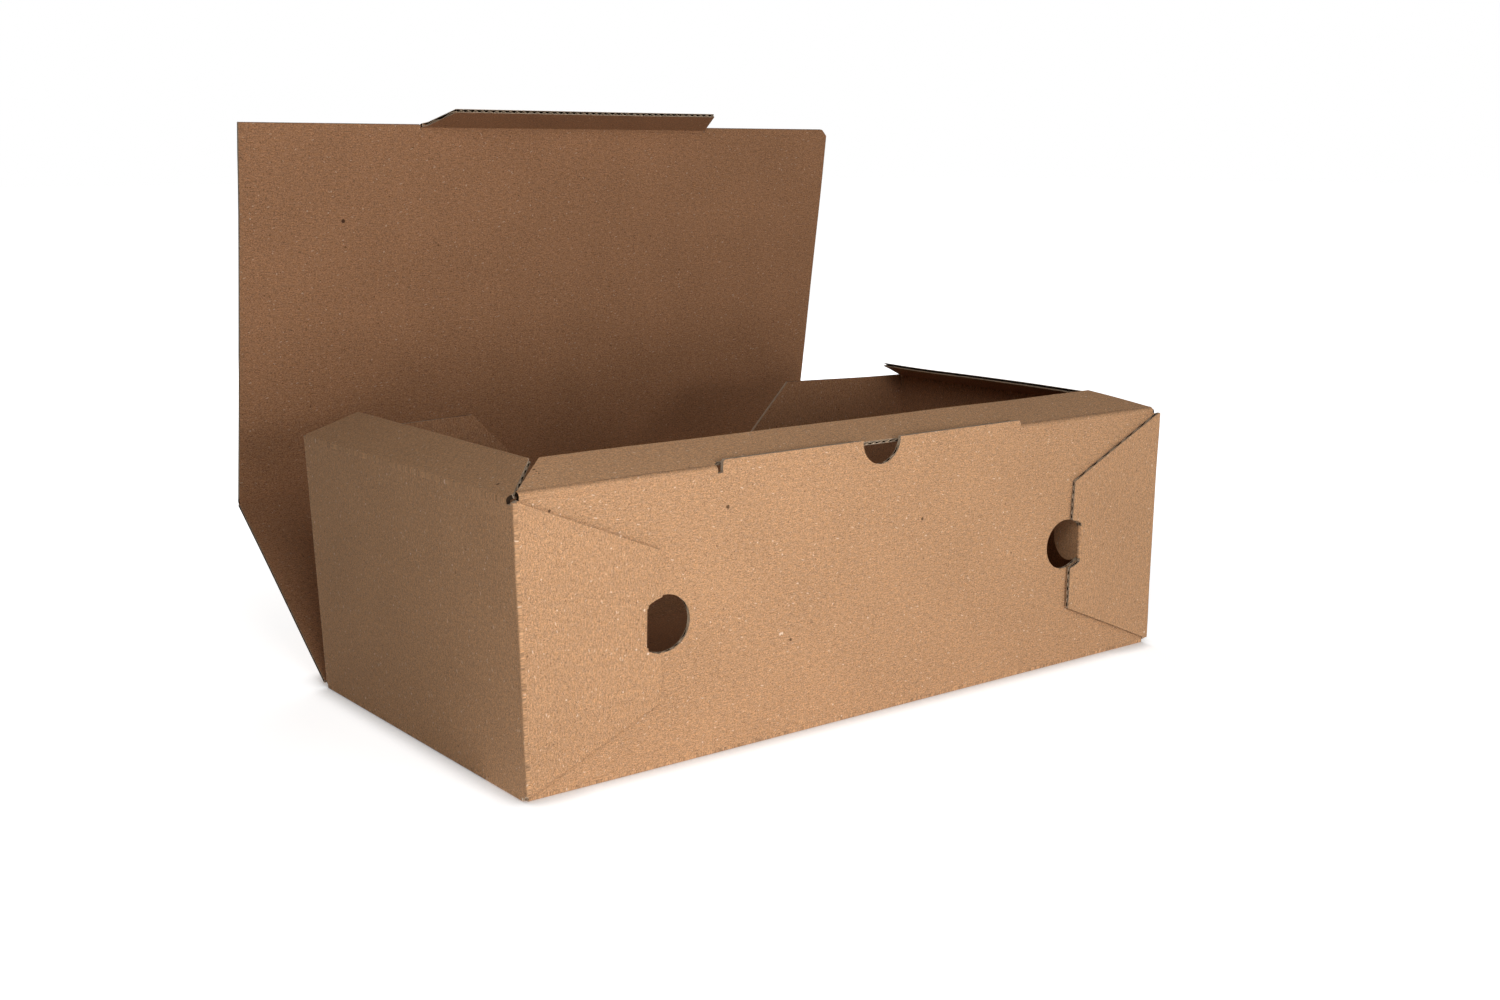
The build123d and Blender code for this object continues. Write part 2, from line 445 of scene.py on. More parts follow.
def ccw(loop: Loop) -> Loop:
    """The loop turned anticlockwise.

    Args:
        loop: Corners of a closed outline.

    Returns:
        The same corners, anticlockwise.
    """
    area = sum(a[0] * b[1] - b[0] * a[1] for a, b in zip(loop, loop[1:] + loop[:1]))
    return loop if area > 0 else loop[::-1]


def arc(centre: Point2, radius: float, start: float, turn: float, steps: int) -> Loop:
    """Points of a round stretch.

    Args:
        centre: The arc's centre.
        radius: Its radius.
        start: Angle of the first point, in degrees.
        turn: Degrees that it goes round.
        steps: Number of chords.

    Returns:
        The points from the first to the last.
    """
    angles = [start + turn * k / steps for k in range(steps + 1)]
    return [(centre[0] + radius * cosine(a), centre[1] + radius * sine(a)) for a in angles]


def distance_to(point: Point2, start: Point2, end: Point2) -> float:
    """Distance from a point to a line between two others.

    Args:
        point: The point.
        start: One end of the line.
        end: Its other end.

    Returns:
        The distance, to the nearer end where the point lies beyond it.
    """
    p, a, b = Vector(point), Vector(start), Vector(end)
    run = b - a
    share = min(1.0, max(0.0, (p - a).dot(run) / run.length_squared))
    return (p - a - run * share).length


@dataclass
class Board:
    """One flat panel: two liners with a wave of paper between them at its cut edges.

    Its folds are the edges that show no wave, on a crease or crushed shut by the die.
    """

    plane: Plane3
    outline: Loop
    folds: list[tuple[Point2, Point2]]
    flutes: Flutes = Flutes.UP
    holes: list[Loop] = field(default_factory=list)
    cell: float = 12.0
    channel: float = 1.8
    swing: float = 0.4
    medium: float = 0.15
    wave_step: float = 0.42
    long_step: float = 6.0
    uv_shift: Point2 = (0.0, 0.0)

    def on_fold(self, x: float, y: float) -> bool:
        """Whether a point of the outline lies on one of the folds."""
        return any(distance_to((x, y), *line) < FOLD_NEAR for line in self.folds)

    def lattice(self, bm: bmesh.types.BMesh) -> None:
        """Cuts the panel into cells, so that it can be warped.

        Args:
            bm: The flat panel's mesh.
        """
        for axis in (0, 1):
            low = min(v.co[axis] for v in bm.verts)
            high = max(v.co[axis] for v in bm.verts)
            count = max(1, round((high - low) / self.cell))
            normal = Vector((1, 0, 0)) if axis == 0 else Vector((0, 1, 0))
            for k in range(1, count):
                place = normal * (low + (high - low) * k / count)
                geometry = bm.verts[:] + bm.edges[:] + bm.faces[:]
                plane = {"plane_co": place, "plane_no": normal}
                bmesh.ops.bisect_plane(bm, geom=geometry, dist=1e-5, **plane)

    def build(self) -> bmesh.types.BMesh:
        """Makes the panel in the box's own place.

        Returns:
            The mesh in mm, with its material indices and map set.
        """
        bm = bmesh.new()
        for loop in [self.outline, *self.holes]:
            verts = [bm.verts.new((x, y, -HALF)) for x, y in loop]
            for a, b in zip(verts, verts[1:] + verts[:1]):
                bm.edges.new((a, b))
        if self.holes:
            bmesh.ops.triangle_fill(bm, use_beauty=True, edges=bm.edges[:])
            bmesh.ops.dissolve_limit(bm, angle_limit=0.01, verts=bm.verts[:], edges=bm.edges[:])
        else:
            bm.faces.new(bm.verts[:])
        self.lattice(bm)
        lifted = bmesh.ops.extrude_face_region(bm, geom=bm.faces[:])["geom"]
        upper = [v for v in lifted if isinstance(v, bmesh.types.BMVert)]
        bmesh.ops.translate(bm, vec=(0, 0, BOARD), verts=upper)
        bmesh.ops.recalc_face_normals(bm, faces=bm.faces[:])
        rims = [f for f in bm.faces if abs(f.normal.z) < 0.5]
        cut = [f for f in rims if not self.on_fold(*f.calc_center_median().xy)]
        for face in bm.faces:
            face.material_index = Side.OUTSIDE.value if face.normal.z > 0 else Side.INSIDE.value
        for face in rims:
            face.material_index = Side.CUT.value
        if cut:
            rim = {"faces": cut, "use_boundary": True}
            bmesh.ops.inset_region(bm, **rim, thickness=LINER, use_even_offset=True)
            bmesh.ops.inset_region(bm, **rim, thickness=0.0, depth=-self.channel)
            # The channel's floor and walls take the near-black finish, which paints the shade in
            # the hollow between the liners.
            floor = set(cut)
            for face in bm.faces:
                if face not in floor and abs(face.normal.z) > 0.5 and self.in_channel(face):
                    face.material_index = Side.HOLLOW.value
            for face in cut:
                face.material_index = Side.HOLLOW.value
        for run, closed in self.cut_runs():
            self.add_wave(bm, run, closed)
        self.set_map(bm)
        bmesh.ops.transform(bm, matrix=self.plane.matrix(), verts=bm.verts[:])
        return bm

    def in_channel(self, face: bmesh.types.BMFace) -> bool:
        """Whether a face lies inside the board, between its liners."""
        return abs(face.calc_center_median().z) < HALF - 0.01

    def cut_runs(self) -> list[tuple[Loop, bool]]:
        """Stretches of the outline that are cut, not folded.

        Returns:
            Each stretch's points, with the panel on its left, and whether it is closed.
        """
        runs = [(hole if ccw(hole) != hole else hole[::-1], True) for hole in self.holes]
        count = len(self.outline)
        edges = zip(self.outline, self.outline[1:] + self.outline[:1])
        folded = [self.on_fold((a[0] + b[0]) / 2, (a[1] + b[1]) / 2) for a, b in edges]
        if not any(folded):
            return [*runs, (self.outline, True)]
        start = folded.index(True)
        run: Loop = []
        for step in range(1, count + 1):
            k = (start + step) % count
            if folded[k]:
                if len(run) > 1:
                    runs.append((run, False))
                run = []
            else:
                run = run or [self.outline[k]]
                run.append(self.outline[(k + 1) % count])
        return runs

    def phase_axis(self) -> Vector:
        """Direction across the flutes, in the panel's plane."""
        return Vector((1, 0)) if self.flutes is Flutes.UP else Vector((0, 1))

    def wave_height(self, place: Vector) -> float:
        """Height of the paper wave over the board's middle."""
        return self.swing * math.sin(2 * math.pi * place.dot(self.phase_axis()) / FLUTE_PITCH)

    def columns(self, run: Loop, closed: bool) -> list[tuple[Vector, Vector]]:
        """Places along a cut edge, close together where the edge crosses flutes.

        Args:
            run: The edge's points.
            closed: Whether it comes back to its start.

        Returns:
            Each place with the mitred way into the panel.
        """
        points = [Vector(p) for p in run]
        if closed:
            points.append(points[0])
        ways = []
        for a, b in zip(points, points[1:]):
            along = (b - a).normalized()
            ways.append(Vector((-along.y, along.x)))
        out: list[tuple[Vector, Vector]] = []
        last = len(ways) - 1
        for k, (a, b) in enumerate(zip(points, points[1:])):
            before = ways[k - 1] if k > 0 else (ways[last] if closed else ways[k])
            mitre = (before + ways[k]) / max(0.4, 1 + before.dot(ways[k]))
            out.append((a, mitre))
            crossing = abs((b - a).normalized().dot(self.phase_axis()))
            step = min(self.long_step, self.wave_step / max(crossing, 0.001))
            count = max(1, math.ceil((b - a).length / step))
            for j in range(1, count):
                out.append((a.lerp(b, j / count), ways[k]))
        out.append((points[-1], out[0][1] if closed else ways[last]))
        return out

    def add_wave(self, bm: bmesh.types.BMesh, run: Loop, closed: bool) -> None:
        """Adds the wave of paper that shows in a cut edge.

        Args:
            bm: The panel's mesh, in its own plane.
            run: The edge's points.
            closed: Whether it comes back to its start.
        """
        columns = self.columns(run, closed)
        depths = (0.06, 0.5, 1.0, self.channel - 0.1)
        wave = bmesh.new()
        bmesh.ops.create_grid(wave, x_segments=len(columns) - 1, y_segments=len(depths) - 1, size=1)
        for vert in wave.verts:
            column = round((vert.co.x + 1) / 2 * (len(columns) - 1))
            row = round((vert.co.y + 1) / 2 * (len(depths) - 1))
            place, way = columns[column]
            at = place + way * depths[row]
            vert.co = (at.x, at.y, self.wave_height(at) - self.medium / 2)
        for face in wave.faces:
            face.material_index = Side.FLUTING.value
            face.smooth = True
        bmesh.ops.solidify(wave, geom=wave.faces[:], thickness=self.medium)
        if closed:
            bmesh.ops.remove_doubles(wave, verts=wave.verts[:], dist=0.01)
        bmesh.ops.recalc_face_normals(wave, faces=wave.faces[:])
        part = bpy.data.meshes.new("wave")
        wave.to_mesh(part)
        wave.free()
        bm.from_mesh(part)
        bpy.data.meshes.remove(part)

    def set_map(self, bm: bmesh.types.BMesh) -> None:
        """Writes the board's map: X along the paper's grain, in centimetres."""
        layer = bm.loops.layers.uv.new("board")
        for face in bm.faces:
            rim = face.material_index == Side.CUT.value
            for loop in face.loops:
                x, y, h = loop.vert.co
                if self.flutes is Flutes.ACROSS:
                    x, y = y, x
                x, y = x + self.uv_shift[0], y + self.uv_shift[1]
                loop[layer].uv = ((x + y) / UV_MM, h / UV_MM) if rim else (x / UV_MM, y / UV_MM)


def strip_map(bm: bmesh.types.BMesh, along: Vector, seed: float) -> None:
    """Writes the map of a fold, from the length along it and round it.

    Args:
        bm: The fold's mesh.
        along: Direction of its crease.
        seed: Shift of the paper's pattern, in mm.
    """
    layer = bm.loops.layers.uv.new("board")
    side = along.orthogonal().normalized()
    other = along.cross(side)
    for face in bm.faces:
        for loop in face.loops:
            place = loop.vert.co
            round_it = place.dot(side) + place.dot(other)
            loop[layer].uv = ((place.dot(along) + seed) / UV_MM, round_it / UV_MM)


def fold(
    start: Vector,
    end: Vector,
    first: Vector,
    second: Vector,
    seed: float,
    corner: float = FOLD_CORNER,
) -> bmesh.types.BMesh:
    """Bend of a standing crease: the board's thickness spun about its inner edge.

    Args:
        start: One end of the inner edge, in mm.
        end: The other end.
        first: Outward normal of the board before the fold.
        second: Outward normal of the board after it.
        seed: Shift of the paper's pattern.
        corner: How far the bend fills its square corner, 0 for a round bend.

    Returns:
        The fold's mesh, in mm.
    """
    run = (end - start).normalized()
    turn = first.angle(second)
    if run.cross(first).dot(second) < 0:
        run, start, end = -run, end, start
    bm = bmesh.new()
    count = max(1, round((end - start).length / 6))
    lower = [bm.verts.new(start.lerp(end, k / count)) for k in range(count + 1)]
    upper = [bm.verts.new(v.co + first * BOARD) for v in lower]
    for k in range(count):
        bm.faces.new((lower[k], lower[k + 1], upper[k + 1], upper[k]))
    geometry = bm.verts[:] + bm.edges[:] + bm.faces[:]
    bmesh.ops.spin(bm, geom=geometry, cent=start, axis=run, angle=turn, steps=8, use_merge=False)
    bmesh.ops.remove_doubles(bm, verts=bm.verts[:], dist=0.001)
    for vert in bm.verts:
        spoke = vert.co - start
        spoke -= run * spoke.dot(run)
        if spoke.length > 0.5 * BOARD:
            angle = max(0.0, min(spoke.angle(first), spoke.angle(second)))
            vert.co += spoke * (corner * (1 / math.cos(angle) - 1))
    bmesh.ops.recalc_face_normals(bm, faces=bm.faces[:])
    for face in bm.faces:
        flat = abs(face.normal.dot(run)) > CAP_FACING
        face.material_index = Side.CUT.value if flat else Side.OUTSIDE.value
        face.smooth = not flat
    strip_map(bm, run, seed)
    return bm


@dataclass
class Crease:
    """Strip of board over the axis of a moving flap, built at the flap's bend."""

    start: Vector
    end: Vector
    before: Vector
    out: Vector
    bend: float
    seed: float
    rings: int = 10

    def build(self) -> bmesh.types.BMesh:
        """Makes the strip at rest.

        Returns:
            The mesh in mm.
        """
        bm = bmesh.new()
        run = self.end - self.start
        count = max(1, round(run.length / 12))
        bmesh.ops.create_grid(bm, x_segments=count, y_segments=self.rings, size=1)
        lifted = bmesh.ops.extrude_face_region(bm, geom=bm.faces[:])["geom"]
        for vert in (v for v in lifted if isinstance(v, bmesh.types.BMVert)):
            vert.co.z = 1.0
        axis = self.before.cross(self.out)
        for face in bm.faces:
            face.material_index = Side.INSIDE.value
            if face.calc_center_median().z > 0.9:
                face.material_index = Side.OUTSIDE.value
        for vert in bm.verts:
            along = self.start + run * ((vert.co.x + 1) / 2)
            reach = vert.co.y * HINGE_START
            height = HALF if vert.co.z > 0.5 else -HALF
            turn = Matrix.Rotation(smooth((vert.co.y + 1) / 2) * self.bend, 3, axis)
            vert.co = along + turn @ (self.before * reach + self.out * height)
        bmesh.ops.recalc_face_normals(bm, faces=bm.faces[:])
        way = run.normalized()
        for face in bm.faces:
            face.smooth = True
            # The strip's ends take the near-black finish, which paints the shade at the crease's
            # open end.
            if abs(face.normal.dot(way)) > CAP_FACING:
                face.material_index = Side.HOLLOW.value
                face.smooth = False
        strip_map(bm, way, self.seed)
        return bm


# Materials


class Graph:
    """Adds nodes to a tree and joins them."""

    def __init__(self, tree: bpy.types.NodeTree) -> None:
        """Takes the tree that is built."""
        self.tree = tree

    def add(self, kind: str, inputs: dict | None = None, **settings) -> bpy.types.Node:
        """Adds a node.

        Args:
            kind: Blender's name of the node.
            inputs: Value or output socket for each input, by name or number.
            **settings: The node's own settings.

        Returns:
            The node.
        """
        node = self.tree.nodes.new(kind)
        for name, value in settings.items():
            setattr(node, name, value)
        for key, value in (inputs or {}).items():
            if isinstance(value, bpy.types.NodeSocket):
                self.tree.links.new(value, node.inputs[key])
            else:
                node.inputs[key].default_value = value
        return node

    def math(self, operation: str, a, b=0.0) -> bpy.types.NodeSocket:
        """One sum of two values."""
        return self.add("ShaderNodeMath", {0: a, 1: b}, operation=operation).outputs[0]

    def mix(self, share, a, b, blend: str = "MIX") -> bpy.types.NodeSocket:
        """Mix of two colours."""
        inputs = {0: share, 6: a, 7: b}
        node = self.add("ShaderNodeMix", inputs, data_type="RGBA", blend_type=blend)
        return node.outputs[2]

    def span(self, value, low: float, high: float, to_low: float, to_high: float):
        """Value carried smoothly from one span to another."""
        inputs = {0: value, 1: low, 2: high, 3: to_low, 4: to_high}
        return self.add("ShaderNodeMapRange", inputs, interpolation_type="SMOOTHSTEP").outputs[0]

    def noise(self, place, detail: float, rough: float, scale: float = 1.0) -> bpy.types.NodeSocket:
        """Value of a noise at a place."""
        inputs = {"Vector": place, "Scale": scale, "Detail": detail, "Roughness": rough}
        return self.add("ShaderNodeTexNoise", inputs).outputs[0]

    def most(self, values: list) -> bpy.types.NodeSocket:
        """Highest of several values."""
        return functools.reduce(lambda a, b: self.math("MAXIMUM", a, b), values)

    def total(self, values: list) -> bpy.types.NodeSocket:
        """Sum of several values."""
        return functools.reduce(lambda a, b: self.math("ADD", a, b), values)

    def mapped(self, place, scale: Point3, shift: Point3 = (0.0, 0.0, 0.0), turn: float = 0.0):
        """Place scaled, moved and turned about Z."""
        inputs = {"Vector": place, "Location": shift, "Rotation": (0, 0, turn), "Scale": scale}
        return self.add("ShaderNodeMapping", inputs).outputs[0]


def new_group(name: str, inputs: dict[str, tuple], outputs: dict[str, str]) -> tuple:
    """Starts a node group.

    Args:
        name: The group's name.
        inputs: Socket type and value for each input.
        outputs: Socket type for each output.

    Returns:
        The group, its graph, its input node and its output node.
    """
    group = bpy.data.node_groups.new(name, "ShaderNodeTree")
    for label, (kind, value) in inputs.items():
        socket = group.interface.new_socket(label, in_out="INPUT", socket_type=kind)
        if value is not None:
            socket.default_value = value
    for label, kind in outputs.items():
        group.interface.new_socket(label, in_out="OUTPUT", socket_type=kind)
    graph = Graph(group)
    return group, graph, graph.add("NodeGroupInput"), graph.add("NodeGroupOutput")


def sparse_marks(
    graph: Graph, place, scale: Point3, turn: float, rarity: float, size: float
) -> bpy.types.NodeSocket:
    """Mask of scattered marks, one in some cells of a stretched lattice.

    Args:
        graph: The tree that gets the nodes.
        place: Place on the board.
        scale: Cells for each centimetre, along and across the marks.
        turn: Radians that the marks are turned.
        rarity: Share of the cells that stay bare.
        size: Radius of a mark, in cells.

    Returns:
        The mask's socket.
    """
    spot = graph.mapped(graph.mapped(place, (1, 1, 1), (0, 0, 0), turn), scale)
    cells = graph.add("ShaderNodeTexVoronoi", {"Vector": spot, "Scale": 1.0, "Randomness": 1.0})
    chance = graph.add("ShaderNodeSeparateColor", {0: cells.outputs["Color"]})
    kept = graph.math("GREATER_THAN", chance.outputs[0], rarity)
    radius = graph.math("MULTIPLY", graph.math("ADD", chance.outputs[1], 0.35), size)
    near = graph.math("SUBTRACT", radius, cells.outputs["Distance"])
    soft = graph.span(near, 0.0, size * 0.5, 0.0, 1.0)
    return graph.math("MULTIPLY", soft, kept)


def kraft_group() -> bpy.types.NodeTree:
    """Recycled kraft paper: clouds, mottle, grain, fibres, flecks and specks, with faint stripes of
    painted washboard shade over the flutes.

    Returns:
        The node group.
    """
    inputs = {
        "Place": ("NodeSocketVector", None),
        "Paper": ("NodeSocketColor", (0.5, 0.3, 0.17, 1)),
        "Fleck": ("NodeSocketColor", (0.8, 0.62, 0.45, 1)),
        "Speck": ("NodeSocketColor", (0.12, 0.06, 0.03, 1)),
        "Contrast": ("NodeSocketFloat", 1.0),
    }
    outputs = {
        "Colour": "NodeSocketColor",
        "Roughness": "NodeSocketFloat",
        "Height": "NodeSocketFloat",
    }
    group, graph, source, sink = new_group("kraft_paper", inputs, outputs)
    place = source.outputs["Place"]
    cloud = graph.noise(place, 3.0, 0.55, scale=0.3)
    patterns = (
        ((4.2, 5.6, 1), (7.0, 3.0, 0), 4.0, 0.65),
        ((12, 17, 1), (1.0, 9.0, 0), 2.0, 0.7),
        ((26, 33, 1), (3.0, 5.0, 0), 1.0, 0.6),
        ((3.4, 19, 1), (4.0, 2.0, 0), 3.0, 0.6),
        ((5.5, 7.5, 1), (2.0, 8.0, 0), 3.0, 0.6),
    )
    mottle, grain, fine, streak, tint = (
        graph.noise(graph.mapped(place, scale, shift), detail, rough)
        for scale, shift, detail, rough in patterns
    )
    # Faint stripes at the flute pitch: in the colour they are painted shade of the liner's
    # washboard ripple, and in the height a real bump.
    rib_bump_and_painted_shade = graph.add("ShaderNodeSeparateXYZ", {0: place}).outputs[0]
    rib_bump_and_painted_shade = graph.math("SINE", graph.math("MULTIPLY", rib_bump_and_painted_shade, 2 * math.pi * UV_MM / FLUTE_PITCH))
    parts = ((cloud, 0.12), (mottle, 0.3), (grain, 0.8), (fine, 0.85), (streak, 0.34))
    levels = [graph.math("MULTIPLY", rib_bump_and_painted_shade, 0.004)]
    for value, weight in parts:
        levels.append(graph.math("MULTIPLY", graph.math("SUBTRACT", value, 0.5), weight))
    level = graph.math("MULTIPLY", graph.total(levels), source.outputs["Contrast"])
    level = graph.math("ADD", level, 1.0)
    hue = graph.math("SUBTRACT", tint, 0.5)
    shares = (0.2, 0.0, -0.34)
    tones = [graph.math("ADD", level, graph.math("MULTIPLY", hue, share)) for share in shares]
    shade = graph.add("ShaderNodeCombineColor", dict(enumerate(tones))).outputs[0]
    colour = graph.mix(1.0, source.outputs["Paper"], shade, "MULTIPLY")
    fleck_plans = (
        ((3.6, 14, 1), 0.25, 0.9, 0.24),
        ((4.8, 17, 1), -0.6, 0.9, 0.24),
        ((6, 7, 1), 1.1, 0.93, 0.22),
    )
    speck_plans = (
        ((2.1, 2.4, 1), 0.0, 0.9, 0.1),
        ((4.4, 5.2, 1), 0.8, 0.9, 0.15),
        ((4.2, 13, 1), -0.9, 0.95, 0.2),
    )
    light, dark = (
        graph.most([sparse_marks(graph, place, *plan) for plan in plans])
        for plans in (fleck_plans, speck_plans)
    )
    light = graph.math("MULTIPLY", light, 0.85)
    colour = graph.mix(light, colour, source.outputs["Fleck"])
    colour = graph.mix(graph.math("MULTIPLY", dark, 0.7), colour, source.outputs["Speck"])
    reliefs = ((grain, 0.7), (streak, 0.5), (rib_bump_and_painted_shade, 0.1), (light, 0.4))
    height = graph.total([graph.math("MULTIPLY", value, share) for value, share in reliefs])
    rough = graph.span(mottle, 0.3, 0.7, 0.74, 0.9)
    graph.tree.links.new(colour, sink.inputs["Colour"])
    graph.tree.links.new(rough, sink.inputs["Roughness"])
    graph.tree.links.new(height, sink.inputs["Height"])
    return group


KRAFT = kraft_group()


def spot_mask(graph: Graph, place, spots: tuple[Point3, ...]) -> bpy.types.NodeSocket:
    """Mask of single marks with ragged edges.

    Args:
        graph: The tree that gets the nodes.
        place: Place on the board's map.
        spots: X, Y and radius of each mark on the map, in centimetres.

    Returns:
        The mask's socket.
    """
    rough = graph.add("ShaderNodeTexNoise", {"Vector": place, "Scale": 18.0}).outputs["Color"]
    ragged = graph.mapped(rough, (RAGGED_CM, RAGGED_CM, 0.0))
    place = graph.add("ShaderNodeVectorMath", {0: place, 1: ragged}, operation="ADD").outputs[0]
    masks = []
    for x, y, radius in spots:
        inputs = {0: place, 1: (x + RAGGED_CM / 2, y + RAGGED_CM / 2, 0.0)}
        away = graph.add("ShaderNodeVectorMath", inputs, operation="DISTANCE").outputs["Value"]
        masks.append(graph.span(away, radius * 0.8, radius * 1.2, 1.0, 0.0))
    return graph.most(masks)


@dataclass(frozen=True)
class Finish:
    """Finish of one face of the board."""

    name: str
    paper: Point3
    fleck: Point3
    speck: Point3
    contrast: float
    bump_mm: float
    specular: float
    dots: tuple[Point3, ...] = ()
    chips: tuple[Point3, ...] = ()

    def make(self) -> bpy.types.Material:
        """Builds the material.

        Returns:
            The material, which reads the board's own map.
        """
        material = bpy.data.materials.new(self.name)
        material.use_nodes = True
        graph = Graph(material.node_tree)
        graph.tree.nodes.clear()
        place = graph.add("ShaderNodeUVMap", uv_map="board").outputs[0]
        kraft = graph.add("ShaderNodeGroup", node_tree=KRAFT)
        values = {"Paper": self.paper, "Fleck": self.fleck, "Speck": self.speck}
        for label, colour in values.items():
            kraft.inputs[label].default_value = (*colour, 1)
        kraft.inputs["Contrast"].default_value = self.contrast
        graph.tree.links.new(place, kraft.inputs["Place"])
        inputs = {"Strength": 1.0, "Distance": self.bump_mm * MM, "Height": kraft.outputs["Height"]}
        bump = graph.add("ShaderNodeBump", inputs)
        colour = kraft.outputs["Colour"]
        for spots, paint in ((self.chips, self.fleck), (self.dots, self.speck)):
            if spots:
                colour = graph.mix(spot_mask(graph, place, spots), colour, (*paint, 1))
        shader = graph.add(
            "ShaderNodeBsdfPrincipled",
            {
                "Base Color": colour,
                "Roughness": kraft.outputs["Roughness"],
                "Normal": bump.outputs[0],
                "Specular IOR Level": self.specular,
            },
        )
        graph.add("ShaderNodeOutputMaterial", {"Surface": shader.outputs[0]})
        return material


OUTSIDE_DOTS = (
    (-7.16, 8.537, 0.07),
    (-4.321, 3.377, 0.055),
    (1.822, 6.957, 0.06),
    (-13.865, 11.383, 0.05),
    (-13.85, 11.25, 0.035),
    (-13.835, 11.114, 0.03),
    (-14.068, 9.285, 0.05),
    (-7.59, 7.251, 0.03),
    (-11.535, 6.779, 0.03),
)
OUTSIDE_CHIPS = (
    (-4.79, 3.665, 0.05),
    (-4.71, 3.68, 0.05),
    (-11.426, 8.124, 0.04),
    (8.377, 21.661, 0.07),
    (7.48, 19.992, 0.07),
    (-0.539, 23.13, 0.04),
    (6.452, -2.301, 0.04),
    (4.936, -2.145, 0.04),
)
INSIDE_DOTS = ((10.574, 37.737, 0.08),)
FINISHES = {
    Side.OUTSIDE: Finish(
        "kraft_outside",
        (0.5, 0.281, 0.146),
        (0.8, 0.6, 0.44),
        (0.14, 0.07, 0.035),
        1.95,
        0.05,
        0.25,
        OUTSIDE_DOTS,
        OUTSIDE_CHIPS,
    ),
    # The inside paper is darker and redder than the outside: partly the inner liner's own tone,
    # partly painted shade that dims the inside of the box and the lid's inner face.
    Side.INSIDE: Finish(
        "kraft_inside_with_painted_shade",
        (0.345, 0.172, 0.086),
        (0.56, 0.39, 0.26),
        (0.07, 0.03, 0.015),
        2.2,
        0.05,
        0.2,
        INSIDE_DOTS,
    ),
    Side.CUT: Finish(
        "cut_edge", (0.46, 0.34, 0.24), (0.75, 0.66, 0.55), (0.05, 0.03, 0.02), 1.8, 0.09, 0.1
    ),
    Side.FLUTING: Finish(
        "fluting_paper", (0.5, 0.37, 0.25), (0.75, 0.64, 0.5), (0.04, 0.02, 0.01), 1.4, 0.05, 0.1
    ),
    # Near-black paper that paints the shade in the flutes' hollows and at the crease strips' ends,
    # not a colour of the board's paper.
    Side.HOLLOW: Finish(
        "painted_hollow_shade",
        (0.035, 0.022, 0.014),
        (0.07, 0.05, 0.03),
        (0.01, 0.006, 0.004),
        1.0,
        0.05,
        0.0,
    ),
}
MATERIALS = {side: finish.make() for side, finish in FINISHES.items()}


# Pieces


def join(parts: list[bmesh.types.BMesh]) -> bmesh.types.BMesh:
    """One mesh of several.

    Args:
        parts: Meshes, which are used up.

    Returns:
        The joined mesh.
    """
    whole = bmesh.new()
    whole.loops.layers.uv.new("board")
    for part in parts:
        mesh = bpy.data.meshes.new("part")
        part.to_mesh(mesh)
        part.free()
        whole.from_mesh(mesh)
        bpy.data.meshes.remove(mesh)
    return whole


def finish_piece(name: str, bm: bmesh.types.BMesh, warp: Warp | None) -> bpy.types.Object:
    """Warps a mesh, brings it to metres and makes it an object with its finishes.

    Args:
        name: The piece's name.
        bm: Its mesh in mm, which is used up.
        warp: How uneven it is.

    Returns:
        The object, at the origin.
    """
    if warp:
        for vert in bm.verts:
            vert.co += warp.shift(vert.co)
            vert.co.z = max(0.0, vert.co.z)
    for edge in bm.edges:
        edge.smooth = all(face.smooth for face in edge.link_faces)
    bmesh.ops.scale(bm, vec=(MM, MM, MM), verts=bm.verts[:])
    mesh = bpy.data.meshes.new(name)
    bm.to_mesh(mesh)
    bm.free()
    for side in Side:
        mesh.materials.append(MATERIALS[side])
    piece = bpy.data.objects.new(name, mesh)
    bpy.context.scene.collection.objects.link(piece)
    LOG.info("%s: %d faces", name, len(mesh.polygons))
    return piece


def lock_shape(clearance: float) -> Loop:
    """Outline of a lock's hole, or of its tongue with a clearance.

    Args:
        clearance: How much smaller than the hole it is.

    Returns:
        Corners, with the straight side on X = 0.
    """
    radius = SIZES.lock_radius - clearance
    upper = lock_shoulder(clearance)
    lower = [(x, -y) for x, y in upper[::-1]]
    return [*lower, *arc((SIZES.lock_reach, 0), radius, -90, 180, 20)[1:-1], *upper]


def lock_shoulder(clearance: float) -> Loop:
    """Upper shoulder of a lock, from its round end to its straight side.

    Args:
        clearance: How much smaller than the hole it is.

    Returns:
        Points of the shoulder's arc.
    """
    reach, drop = SIZES.lock_reach, SIZES.lock_shoulder - SIZES.lock_radius
    sweep = math.degrees(math.atan2(reach, SIZES.lock_root(clearance) + drop))
    return arc((reach, -drop), SIZES.lock_shoulder - clearance, 90, sweep, 7)


